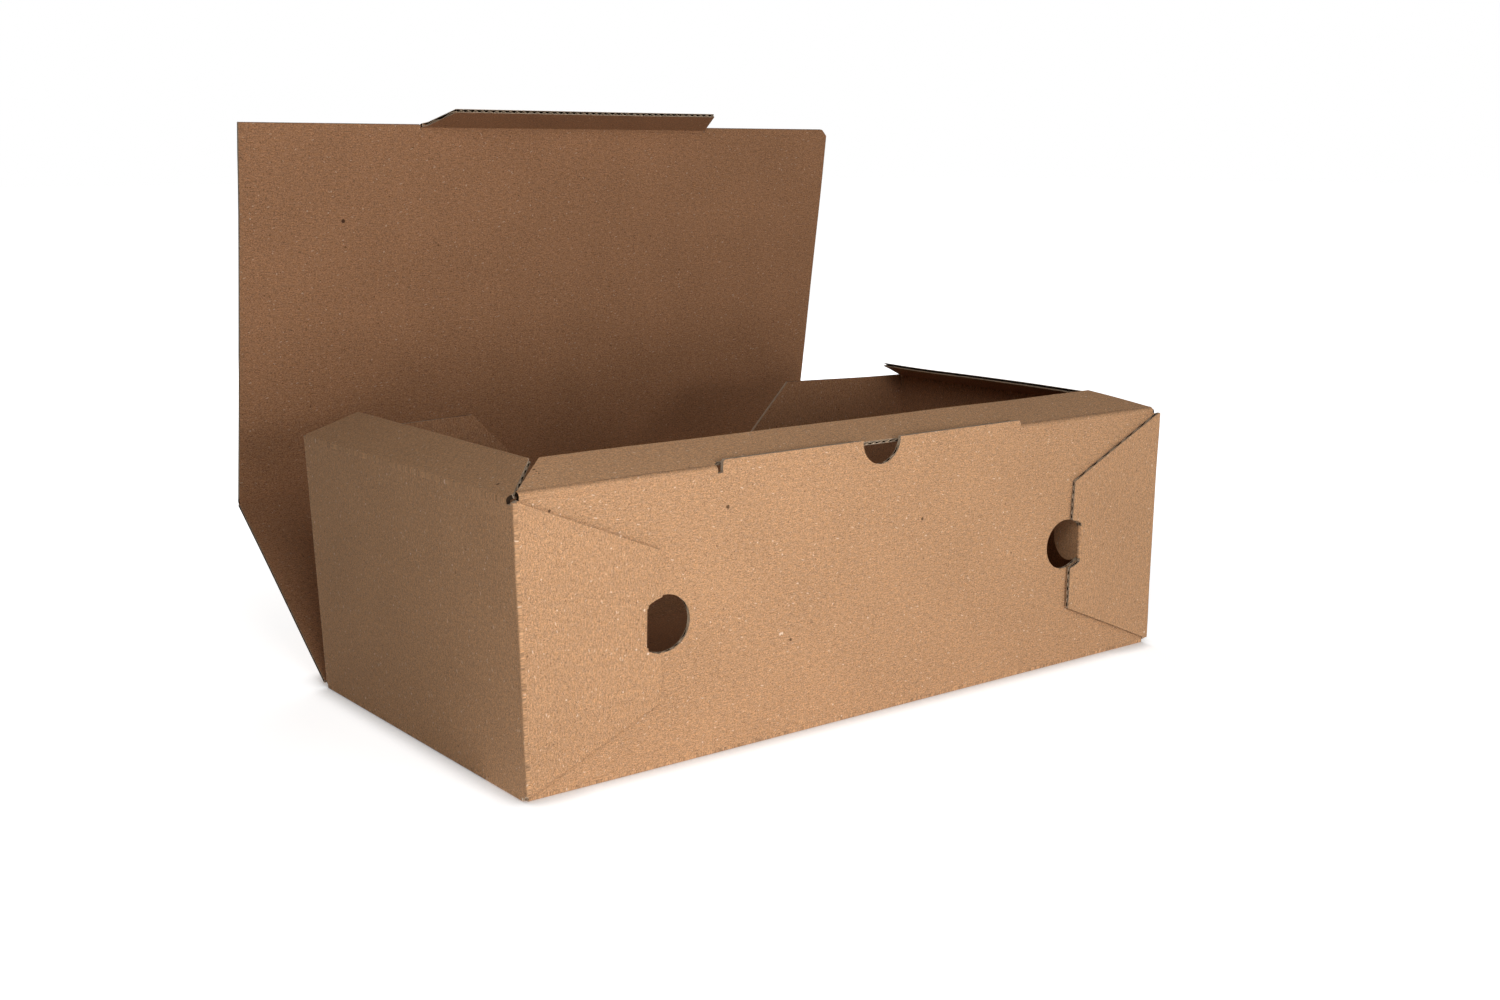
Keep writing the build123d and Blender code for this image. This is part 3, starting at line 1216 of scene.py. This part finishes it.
@dataclass
class Tray:
    """Base, walls and corner flaps: all that stays still when the box is opened."""

    sizes: BoxSizes
    places: Places
    warp_depth: float = 0.55
    warp_wave: float = 70.0
    flap_bow: Bow = Bow((108.0, -79.0, 20.0), (0, -0.9, 0), (24, 30, 34), tied=False, rise=12.0)

    def warp(self) -> Warp:
        """Unevenness of the tray, which is nil at its creases and along its foot.

        Returns:
            The warp, which bows out a little at the right foot.
        """
        s, z = self.sizes, self.sizes.front_crease_z
        left, right = s.left_x(z) - HALF, s.right_x(z) + HALF
        front, back = s.lock_y(z), s.rear_y
        top = [Vector((left, front, z)), Vector((right, front, z))]
        ends = [Vector((left, back, z)), Vector((right, back, z))]
        half = s.half_length
        feet = [Vector((-half, s.lock_y0, 0)), Vector((half, s.lock_y0, 0))]
        heels = [Vector((-half, s.hinge_y, 0)), Vector((half, s.hinge_y, 0))]
        pairs = ((top[0], top[1]), (top[0], ends[0]), (top[1], ends[1]), (feet[0], feet[1]))
        more = ((heels[0], heels[1]), (feet[0], heels[0]), (feet[1], heels[1]))
        foot = Bow((half, front, 4.0), (0.1, 0, 0), (13, 120, 34), tied=False, rise=2.6)
        return Warp(self.warp_depth, self.warp_wave, 3.7, (*pairs, *more), bows=(foot,))

    def build(self) -> list[bpy.types.Object]:
        """Makes the tray's pieces.

        Returns:
            The pieces, which ride on the tray.
        """
        warp = self.warp()
        made = [
            finish_piece("tray_base", self.base(), warp),
            finish_piece("tray_front_wall", self.front_wall(), warp),
        ]
        for way, side in SIDES.items():
            made.append(finish_piece(f"tray_{side}_wall", self.end_wall(way), warp))
            loose = replace(warp, bows=(*warp.bows, self.flap_bow)) if way < 0 else warp
            made.append(finish_piece(f"tray_{side}_lock_flap", self.lock_flap(way), loose))
            made.append(finish_piece(f"tray_{side}_rear_flap", self.rear_flap(way), warp))
        for piece in made:
            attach(piece, "tray")
            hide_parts("tray")
        return made

    def base(self) -> bmesh.types.BMesh:
        """The floor of the box.

        Returns:
            The mesh, with the folds to the front and end walls.
        """
        s = self.sizes
        side, low, high = s.half_length - BOARD, s.front_y, s.hinge_y - HINGE_START
        corners = ccw([(-side, -low), (side, -low), (side, -high), (-side, -high)])
        folds = list(zip(corners, corners[1:] + corners[:1]))
        board = Board(self.places.base, corners, folds, cell=20.0)
        start, end = Vector((s.left_x(BOARD), low, BOARD)), Vector((s.right_x(BOARD), low, BOARD))
        down = Vector((0, 0, -1))
        front = fold(start, end, down, self.places.front_out, 11.0)
        parts = [board.build(), front]
        for x, out in ((-side, self.places.left_out), (side, self.places.right_out)):
            foot, heel = Vector((x, low, BOARD)), Vector((x, s.rear_y, BOARD))
            parts.append(fold(foot, heel, down, out, 23.0))
        return join(parts)

    def lock_place(self, way: int, x: float, y: float) -> Point2:
        """Point of a lock's shape, in the front's own plane."""
        s = self.sizes
        return (way * (s.lock_chord - s.half_length + x), s.front_v(s.lock_height) + y)

    def front_wall(self) -> bmesh.types.BMesh:
        """Front wall with its lip, thumb notch and lock holes.

        Returns:
            The wall's mesh.
        """
        s = self.sizes
        crease = s.front_v(s.front_crease_z)
        top, shoulder = crease + s.lip_rise, crease - HINGE_START
        left, right, foot_left, foot_right = (
            x + way * s.layer_gap
            for z in (s.front_crease_z, BOARD)
            for x, way in ((s.left_x(z), 1), (s.right_x(z), -1))
        )
        middle, lip = s.top_middle, s.lip_width / 2
        notch = (middle, crease - s.notch_below_crease + s.notch_radius)
        outline = [
            (foot_left, 0.0),
            (foot_right, 0.0),
            (right, shoulder),
            (middle + lip, shoulder),
            (middle + lip, top - s.lip_corner),
            (middle + lip - s.lip_corner, top),
            (middle + s.notch_radius, top),
            *arc(notch, s.notch_radius, 0, -180, 22),
            (middle - s.notch_radius, top),
            (middle - lip + s.lip_corner, top),
            (middle - lip, top - s.lip_corner),
            (middle - lip, shoulder),
            (middle - lip - s.slot_tear, shoulder),
            (left, shoulder),
        ]
        folds = [
            ((foot_left, 0.0), (foot_right, 0.0)),
            ((foot_left, 0.0), (left, shoulder)),
            ((foot_right, 0.0), (right, shoulder)),
            ((left, shoulder), (middle - lip - s.slot_tear, shoulder)),
            ((middle + lip, shoulder), (right, shoulder)),
        ]
        root = s.lock_root()
        hole = [*lock_shape(0.0), (-s.lock_room, root), (-s.lock_room, -root)]
        holes = [[self.lock_place(way, x, y) for x, y in hole] for way in (1, -1)]
        folds += list(zip(outline[3:6], outline[4:7])) + list(zip(outline[-6:-3], outline[-5:-2]))
        return Board(self.places.front, outline, folds, holes=holes).build()

    def end_wall(self, way: int) -> bmesh.types.BMesh:
        """An end wall with its folds to the corner flaps.

        Args:
            way: 1 for the left wall, -1 for the right.

        Returns:
            The wall's mesh.
        """
        s = self.sizes
        plane = self.places.wall(way)
        ledge = self.places.ledge(way)
        top = (ledge.origin - plane.origin).dot(plane.up) - HINGE_START
        corners = ccw([
            (-way * s.lock_y(BOARD), 0.0),
            (-way * s.rear_y, 0.0),
            (-way * s.rear_y, top),
            (-way * s.lock_y(s.end_crease_z), top),
        ])
        folds = list(zip(corners, corners[1:] + corners[:1]))
        board = Board(plane, corners, folds, Flutes.ACROSS, uv_shift=(61.0 * way, 17.0))
        return board.build()

    def lock_flap(self, way: int) -> bmesh.types.BMesh:
        """A front corner flap, outside the front wall, with its tongue.

        Args:
            way: 1 for the left flap, -1 for the right.

        Returns:
            The flap's mesh.
        """
        s = self.sizes
        side_x = s.left_x if way > 0 else s.right_x
        wall_out = self.places.wall_out(way)
        edge = way * (s.flap_edge - s.half_length)
        depth = s.flap_edge - s.lock_chord
        drop = s.lock_shoulder - s.lock_radius
        mouth = math.sqrt(s.lock_shoulder**2 - (s.lock_reach - depth) ** 2) - drop
        bend, reach = s.tongue_bulge, self.bend_reach()
        shoulder = math.sqrt(s.lock_shoulder**2 - (s.lock_reach - bend) ** 2) - drop
        round_edge = [p for p in lock_shoulder(0.0) if bend + 0.2 < p[0] < depth - 0.2]
        upper = [(depth, mouth), *round_edge]
        upper += [(bend, shoulder), (bend, reach + 0.03), (0.0, reach)]
        notch = [*[(x, -y) for x, y in upper], *upper[::-1]]
        low, high = s.flap_foot, s.flap_head
        foot, head = (side_x(low), s.front_v(low)), (side_x(high), s.front_v(high))
        corners = [
            foot,
            (edge, s.front_v(s.flap_edge_low)),
            *(self.lock_place(way, x, y) for x, y in notch),
            (edge, s.front_v(s.flap_edge_high)),
            head,
        ]
        chord = [self.lock_place(way, 0.0, side * reach) for side in (-1, 1)]
        folds = [(chord[0], chord[1]), (head, foot)]
        shift = (9.0 * way, 83.0)
        board = Board(self.places.lock, ccw(corners), folds, Flutes.ACROSS, uv_shift=shift)
        start = Vector((side_x(low), s.lock_y(low), low))
        end = Vector((side_x(high), s.lock_y(high), high))
        parts = [board.build(), fold(start, end, wall_out, self.places.front_out, 37.0)]
        return join([*parts, *self.tongue(way)])

    def bend_reach(self) -> float:
        """Half the length of the bend at a tongue's root."""
        return self.sizes.lock_root() - 0.15

    def tongue(self, way: int) -> list[bmesh.types.BMesh]:
        """Tongue of a lock, bent in through the front wall's hole.

        Args:
            way: 1 for the left lock, -1 for the right.

        Returns:
            The tongue's board and its fold.
        """
        s, out, up = self.sizes, self.places.front_out, self.places.front.up
        along = Vector((way, 0, 0))
        run = along * cosine(s.tongue_bend) - out * sine(s.tongue_bend)
        face = out * cosine(s.tongue_bend) + along * sine(s.tongue_bend)
        x, y = self.lock_place(way, 0.0, 0.0)
        root = self.places.lock.at(x, y, -HALF)
        plane = inner_plane(root, run, face)
        shape = ccw(lock_shape(s.tongue_clearance))
        reach = s.lock_root(s.tongue_clearance)
        base = ((0.0, reach), (0.0, -reach))
        board = Board(plane, shape, [base], Flutes.ACROSS, cell=4.0, uv_shift=(x, y))
        half = up * self.bend_reach()
        return [board.build(), fold(root - half, root + half, out, face, 5.0, corner=0.0)]

    def rear_flap(self, way: int) -> bmesh.types.BMesh:
        """A rear corner flap, folded in along the back.

        Args:
            way: 1 for the left flap, -1 for the right.

        Returns:
            The flap's mesh.
        """
        s = self.sizes
        side_x = s.left_x if way > 0 else s.right_x
        wall_out = self.places.wall_out(way)
        low, high = s.rear_foot, s.rear_head
        step = s.rear_reach - s.rear_top
        tip = high + s.rear_top * tangent(s.rear_rise)

        def at(z: float, reach: float, corner: float) -> Point2:
            return (-(side_x(corner) + way * (reach - BOARD)), z)

        corners = [
            at(low, BOARD, low),
            at(low, s.rear_top, low),
            at(low + step, s.rear_reach, low),
            at(tip - step, s.rear_reach, high),
            at(tip, s.rear_top, high),
            at(high, BOARD, high),
        ]
        folds = [(corners[5], corners[0]), (corners[1], corners[2]), (corners[3], corners[4])]
        shift = (29.0 * way, 41.0)
        board = Board(self.places.rear, ccw(corners), folds, Flutes.ACROSS, uv_shift=shift)
        start = Vector((side_x(low), s.rear_y, low))
        end = Vector((side_x(high), s.rear_y, high))
        rear = Vector((0, 1, 0))
        return join([board.build(), fold(start, end, wall_out, rear, 51.0)])


@dataclass
class Cover:
    """Back wall, lid and tuck flap, with the creases that join them."""

    sizes: BoxSizes
    places: Places
    warp_depth: float = 0.9
    warp_wave: float = 130.0

    def warp(self) -> Warp:
        """Unevenness of the cover, which is nil at its creases.

        Returns:
            The warp, which bows the lid's right edge.
        """
        half = Vector((self.sizes.half_length, 0, 0))
        hinge = Vector((0, self.sizes.hinge_y, HALF))
        middles = (hinge, self.places.lid_crease, self.places.tuck_crease)
        lines = [(place - half, place + half) for place in middles]
        edge = Bow((148.0, 136.0, 196.0), (0.6, 0, 0), (8, 60, 40), tied=False)
        return Warp(self.warp_depth, self.warp_wave, 9.2, tuple(lines), 34.0, (edge,))

    def build(self) -> list[bpy.types.Object]:
        """Makes the cover's pieces.

        Returns:
            The pieces, each on its own body or across a crease.
        """
        warp = self.warp()
        boards = {"back_wall": self.back_wall(), "lid": self.lid(), "tuck_flap": self.tuck_flap()}
        made = []
        for node, mesh in boards.items():
            piece = finish_piece(f"{node}_board", mesh, warp)
            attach(piece, node)
            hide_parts(node)
            made.append(piece)
        return [*made, *self.creases()]

    def back_wall(self) -> bmesh.types.BMesh:
        """Back wall, between the base and the lid.

        Returns:
            The wall's mesh.
        """
        s = self.sizes
        side = s.half_length - s.back_side_gap
        low, high = HINGE_START, s.back_height - HINGE_START
        corners = [(-side, low), (side, low), (side, high), (-side, high)]
        folds = [(corners[0], corners[1]), (corners[2], corners[3])]
        return Board(self.places.back, corners, folds, uv_shift=(3.0, 120.0)).build()

    def lid_sides(self) -> Point2:
        """The lid's left and right edges."""
        s = self.sizes
        side = s.half_length - s.back_side_gap - s.lid_side_gap
        return s.lid_offset - side, s.lid_offset + side

    def tuck_sides(self) -> Point2:
        """Ends of the tuck flap's crease."""
        middle = self.places.tuck_crease.x
        return middle - self.sizes.tuck_width / 2, middle + self.sizes.tuck_width / 2

    def lid(self) -> bmesh.types.BMesh:
        """Lid, with its front right corner cut off.

        Returns:
            The lid's mesh, cut back where the tuck flap's crease lies.
        """
        s = self.sizes
        left, right = self.lid_sides()
        tuck_left, tuck_right = self.tuck_sides()
        length = (self.places.tuck_crease - self.places.lid_crease).dot(self.places.lid.up)
        top, low, crease = length + HALF, HINGE_START, length - HINGE_START
        corners = [
            (-left, low),
            (-left, top),
            (-tuck_left + 0.3, top),
            (-tuck_left + 0.3, crease),
            (-tuck_right - 0.3, crease),
            (-tuck_right - 0.3, top),
            (-right + s.lid_corner, top),
            (-right, top - s.lid_corner),
            (-right, low),
        ]
        folds = [(corners[8], corners[0]), (corners[3], corners[4])]
        return Board(self.places.lid, ccw(corners), folds, uv_shift=(0.0, 260.0)).build()

    def tuck_flap(self) -> bmesh.types.BMesh:
        """Tuck flap on the lid's front edge.

        Returns:
            The flap's mesh.
        """
        s = self.sizes
        root = s.tuck_width / 2
        corners = [
            (-root, HINGE_START),
            (root, HINGE_START),
            (root - s.tuck_shoulder, HINGE_START + s.tuck_shoulder),
            (root - s.tuck_taper, s.tuck_length),
            (-root + s.tuck_taper, s.tuck_length),
        ]
        folds = [(corners[0], corners[1])]
        board = Board(self.places.tuck, ccw(corners), folds, cell=6.0, uv_shift=(70.0, 430.0))
        return board.build()

    def creases(self) -> list[bpy.types.Object]:
        """Strips of board over the three axes.

        Returns:
            The creases, from the base to the tuck flap.
        """
        s, p = self.sizes, self.places
        hinge = Vector((0, s.hinge_y, HALF))
        side = Vector((s.half_length - BOARD, 0, 0))
        to_rear, down = Vector((0, 1, 0)), Vector((0, 0, -1))
        foot = (hinge - side, hinge + side)
        top = self.ends(p.lid_crease, *self.lid_sides())
        front = self.ends(p.tuck_crease, *self.tuck_sides())
        plans = (
            ("back_wall_crease", "tray", "back_wall", *foot, to_rear, down, p.back.up),
            ("lid_crease", "back_wall", "lid", *top, p.back.up, p.back.out, p.lid.up),
            ("tuck_crease", "lid", "tuck_flap", *front, p.lid.up, p.lid.out, p.tuck.up),
        )
        return [crease_piece(*plan) for plan in plans]

    def ends(self, crease: Vector, left: float, right: float) -> tuple[Vector, Vector]:
        """Ends of a crease between two places across."""
        return Vector((left, crease.y, crease.z)), Vector((right, crease.y, crease.z))


def crease_piece(
    name: str,
    before_body: str,
    after_body: str,
    start: Vector,
    end: Vector,
    before: Vector,
    out: Vector,
    after: Vector,
) -> bpy.types.Object:
    """Makes a strip over a joint's axis, at the joint's bend.

    Args:
        name: The piece's name.
        before_body: Not used.
        after_body: Not used.
        start: One end of the axis, in mm.
        end: The other end.
        before: Way of the sheet as it comes to the axis.
        out: Outward normal there.
        after: Way of the sheet as it leaves the axis.

    Returns:
        The piece, at its bend.
    """
    axis = before.cross(out)
    bend = math.atan2(before.cross(after).dot(axis), before.dot(after))
    strip = Crease(start, end, before, out, bend, seed=len(name) * 7.0)
    piece = finish_piece(name, strip.build(), None)
    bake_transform(piece)
    return piece


@dataclass
class Ledges:
    """The three narrow flaps along the tops of the walls, and their creases."""

    sizes: BoxSizes
    places: Places
    warp_depth: float = 0.3
    warp_wave: float = 45.0
    front_bow: Bow = Bow((139.0, -69.0, 105.0), (0, 0, 0.3), (15, 12, 30))
    right_bow: Bow = Bow((128.0, -20.0, 106.0), (0, 0, 0.5), (30, 50, 30))
    tip_bow: Bow = Bow((130.0, 72.0, 106.0), (0, 0.2, 0.4), (30, 22, 30))

    def warp(self, crease: Plane3, bows: tuple[Bow, ...]) -> Warp:
        """Unevenness of a ledge, which is nil at its crease."""
        run = crease.across * self.sizes.length
        line = (crease.origin - run, crease.origin + run)
        return Warp(self.warp_depth, self.warp_wave, 6.1, (line,), 12.0, bows)

    def build(self) -> list[bpy.types.Object]:
        """Makes the ledges.

        Returns:
            The ledges and their creases.
        """
        made = [self.front_ledge(), self.end_ledge(1), self.end_ledge(-1)]
        return [*made, *self.front_creases(), self.end_crease(1), self.end_crease(-1)]

    def front_ends(self) -> Point2:
        """Ends of the front ledge's crease."""
        s = self.sizes
        z = s.front_crease_z
        return s.left_x(z) + s.ledge_front_gap, s.right_x(z) - s.ledge_front_gap

    def front_ledge(self) -> bpy.types.Object:
        """Ledge on the front wall, cut back behind the lip.

        Returns:
            The ledge.
        """
        s = self.sizes
        left, right = self.front_ends()
        width, slot = s.ledge_width, s.lip_width / 2
        mitre = width - HINGE_START
        slack = HINGE_START - s.hinge_start
        left, right = left + slack, right - slack
        middle = s.top_middle
        corners = [
            (left, HINGE_START),
            (middle - slot - s.slot_tear, HINGE_START),
            (middle - slot - 0.3, s.slot_width),
            (middle + slot, s.slot_width),
            (middle + slot, HINGE_START),
            (right, HINGE_START),
            (right - mitre, width),
            (left + mitre, width),
        ]
        folds = [(corners[0], corners[1]), (corners[4], corners[5])]
        board = Board(self.places.front_ledge, corners, folds, cell=6.0, uv_shift=(0.0, 101.0))
        warp = self.warp(self.places.front_ledge, (self.front_bow,))
        piece = finish_piece("front_ledge_board", board.build(), warp)
        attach(piece, "front_ledge")
        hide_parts("front_ledge")
        return piece

    def front_creases(self) -> list[bpy.types.Object]:
        """Creases of the front ledge, left and right of the lip.

        Returns:
            The two creases.
        """
        s, p = self.sizes, self.places
        left, right = self.front_ends()
        middle, slot = s.top_middle, s.lip_width / 2
        spans = (("left", left, middle - slot - s.slot_tear), ("right", middle + slot, right))
        made = []
        for side, low, high in spans:
            start = Vector((low, p.front_crease.y, p.front_crease.z))
            end = Vector((high, p.front_crease.y, p.front_crease.z))
            name = f"front_ledge_crease_{side}"
            ways = (p.front.up, p.front_out, p.front_ledge.up)
            made.append(crease_piece(name, "tray", "front_ledge", start, end, *ways))
        return made

    def end_reach(self) -> Point2:
        """Front and back ends of an end ledge's crease."""
        s = self.sizes
        return s.lock_y(s.end_crease_z) + s.ledge_end_gap, s.rear_y - s.ledge_back_gap

    def end_ledge(self, way: int) -> bpy.types.Object:
        """Ledge on an end wall.

        Args:
            way: 1 for the left wall, -1 for the right.

        Returns:
            The ledge.
        """
        s = self.sizes
        side = SIDES[way]
        plane = self.places.ledge(way)
        front, back = self.end_reach()
        width = s.ledge_width
        mitre = width - s.ledge_end_step
        corners = [
            (-way * front, HINGE_START),
            (-way * back, HINGE_START),
            (-way * (back - s.ledge_back_bevel), width),
            (-way * (front + mitre), width),
            (-way * front, s.ledge_end_step),
        ]
        folds = [(corners[0], corners[1])]
        shift = (14.0 * way, 5.0)
        board = Board(plane, ccw(corners), folds, Flutes.ACROSS, cell=6.0, uv_shift=shift)
        bows = () if way > 0 else (self.right_bow, self.tip_bow)
        piece = finish_piece(f"{side}_ledge_board", board.build(), self.warp(plane, bows))
        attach(piece, f"{side}_ledge")
        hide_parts(f"{side}_ledge")
        return piece

    def end_crease(self, way: int) -> bpy.types.Object:
        """Crease of an end ledge.

        Args:
            way: 1 for the left wall, -1 for the right.

        Returns:
            The crease.
        """
        s = self.sizes
        side = SIDES[way]
        plane = self.places.ledge(way)
        wall = self.places.wall(way)
        front, back = self.end_reach()
        front += s.left_crease_cut if way > 0 else 0.0
        start = Vector((plane.origin.x, front, plane.origin.z))
        end = Vector((plane.origin.x, back, plane.origin.z))
        name, ways = f"{side}_ledge_crease", (wall.up, wall.out, plane.up)
        return crease_piece(name, "tray", f"{side}_ledge", start, end, *ways)


# Stage


@dataclass(frozen=True)
class Camera:
    """The photograph's camera, as found from the box's corners."""

    place_mm: Point3 = (-403.82, -523.36, 201.27)
    down: float = 11.425
    yaw: float = 37.542
    lens: float = 40.651

    def build(self) -> None:
        """Makes the scene's camera."""
        data = bpy.data.cameras.new("camera")
        data.lens = self.lens
        data.sensor_width = 36.0
        data.clip_start = 0.01
        data.clip_end = 50.0
        camera = bpy.data.objects.new("camera", data)
        camera.location = Vector(self.place_mm) * MM
        camera.rotation_euler = (math.radians(90 - self.down), 0, math.radians(-self.yaw))
        bpy.context.scene.collection.objects.link(camera)
        bpy.context.scene.camera = camera


@dataclass(frozen=True)
class Lamp:
    """A soft rectangular lamp that points at the box."""

    name: str
    place: Point3
    size: tuple[float, float]
    power: float
    aim: Point3 = (0.0, 0.0, 0.06)
    spread: float = 180.0

    def build(self) -> None:
        """Makes the lamp."""
        data = bpy.data.lights.new(self.name, "AREA")
        data.shape = "RECTANGLE"
        data.size, data.size_y = self.size
        data.energy = self.power
        data.spread = math.radians(self.spread)
        lamp = bpy.data.objects.new(self.name, data)
        lamp.visible_camera = False
        lamp.location = self.place
        way = Vector(self.aim) - Vector(self.place)
        lamp.rotation_euler = way.to_track_quat("-Z", "Y").to_euler()
        bpy.context.scene.collection.objects.link(lamp)


@dataclass(frozen=True)
class Studio:
    """Pale floor, even world and soft lamps."""

    floor_half: float = 12.0
    world: float = 0.06
    near: float = 0.2
    near_glow: float = 0.78
    far: float = 0.42
    contact: float = 0.012
    painted_contact_shadow_glow: float = 0.3

    def build(self) -> None:
        """Makes the floor, the world and the lamps."""
        bm = bmesh.new()
        bmesh.ops.create_grid(bm, x_segments=2, y_segments=2, size=self.floor_half)
        mesh = bpy.data.meshes.new("floor")
        bm.to_mesh(mesh)
        bm.free()
        floor = bpy.data.objects.new("floor", mesh)
        floor.location.z = -0.0002
        bpy.context.scene.collection.objects.link(floor)
        mesh.materials.append(self.floor_material())
        self.sky()
        for lamp in LAMPS:
            lamp.build()

    def floor_material(self) -> bpy.types.Material:
        """Floor that is white to the eye, keeps the box's cast shadow and has a painted contact
        shadow along the box's foot.

        Returns:
            The floor's material.
        """
        material = bpy.data.materials.new("pale_floor")
        material.use_nodes = True
        graph = Graph(material.node_tree)
        graph.tree.nodes.clear()
        seen = self.seen(graph)
        place = graph.add("ShaderNodeTexCoord").outputs["Object"]
        reach = graph.add("ShaderNodeVectorMath", {0: place}, operation="LENGTH").outputs["Value"]
        glow = graph.span(reach, self.near, self.far, self.near_glow, 1.0)
        # Painted contact shadow: an ambient-occlusion node darkens the floor's glow in a thin band
        # along the box's foot.
        contact_occlusion = graph.add("ShaderNodeAmbientOcclusion", {"Distance": self.contact}, samples=8)
        shadow = graph.span(contact_occlusion.outputs["AO"], 0.35, 0.95, self.painted_contact_shadow_glow, 1.0)
        glow = graph.math("MULTIPLY", glow, shadow)
        shade = graph.mix(seen, (0.8, 0.8, 0.8, 1), (0.75, 0.75, 0.75, 1))
        shader = graph.add("ShaderNodeBsdfDiffuse", {"Color": shade})
        level = graph.math("MULTIPLY", seen, glow)
        light = graph.add("ShaderNodeEmission", {"Color": (1, 1, 1, 1), "Strength": level})
        both = graph.add("ShaderNodeAddShader", {0: shader.outputs[0], 1: light.outputs[0]})
        graph.add("ShaderNodeOutputMaterial", {"Surface": both.outputs[0]})
        return material

    def seen(self, graph: Graph) -> bpy.types.NodeSocket:
        """1 for what the eye sees, also in a gloss or through glass."""
        rays = graph.add("ShaderNodeLightPath")
        seen = graph.math("MAXIMUM", rays.outputs["Is Camera Ray"], rays.outputs["Is Glossy Ray"])
        return graph.math("MAXIMUM", seen, rays.outputs["Is Transmission Ray"])

    def sky(self) -> None:
        """White surroundings to the eye, and a dimmer even light on the box."""
        world = bpy.data.worlds.new("surroundings")
        bpy.context.scene.world = world
        world.use_nodes = True
        graph = Graph(world.node_tree)
        graph.tree.nodes.clear()
        seen = self.seen(graph)
        dim = graph.add("ShaderNodeBackground", {"Color": (1, 1, 1, 1), "Strength": self.world})
        white = graph.add("ShaderNodeBackground", {"Color": (1, 1, 1, 1), "Strength": 1.0})
        both = graph.add("ShaderNodeMixShader", {0: seen, 1: dim.outputs[0], 2: white.outputs[0]})
        graph.add("ShaderNodeOutputWorld", {"Surface": both.outputs[0]})


# The card lies on the floor and stands for the light that a bright table throws up.
LAMPS = (
    Lamp("key", (0.1, -0.85, 0.14), (0.24, 0.26), 0.87, aim=(-0.13, -0.05, 0.13), spread=100.0),
    Lamp("card", (-0.25, -0.65, -0.0001), (2.0, 1.2), 2.7, aim=(-0.25, -0.65, 1.0)),
    Lamp("upper", (-0.28, -0.46, 0.42), (0.25, 0.25), 1.2),
    Lamp("side", (-0.6, -0.62, 0.1), (0.2, 0.2), 0.6),
    Lamp("rear", (0.4, 1.0, 0.38), (0.4, 0.4), 4.5),
)


def main() -> None:
    """Builds the box and its stage."""
    noise.seed_set(WARP_SEED)
    logging.basicConfig(level=logging.INFO, format="%(message)s")
    bpy.context.scene.view_settings.view_transform = "Standard"
    Camera().build()
    Studio().build()
    for part in (Tray(SIZES, PLACES), Cover(SIZES, PLACES), Ledges(SIZES, PLACES)):
        made = part.build()
        LOG.info("%s: %d pieces", type(part).__name__, len(made))


if __name__ == "__main__":
    main()
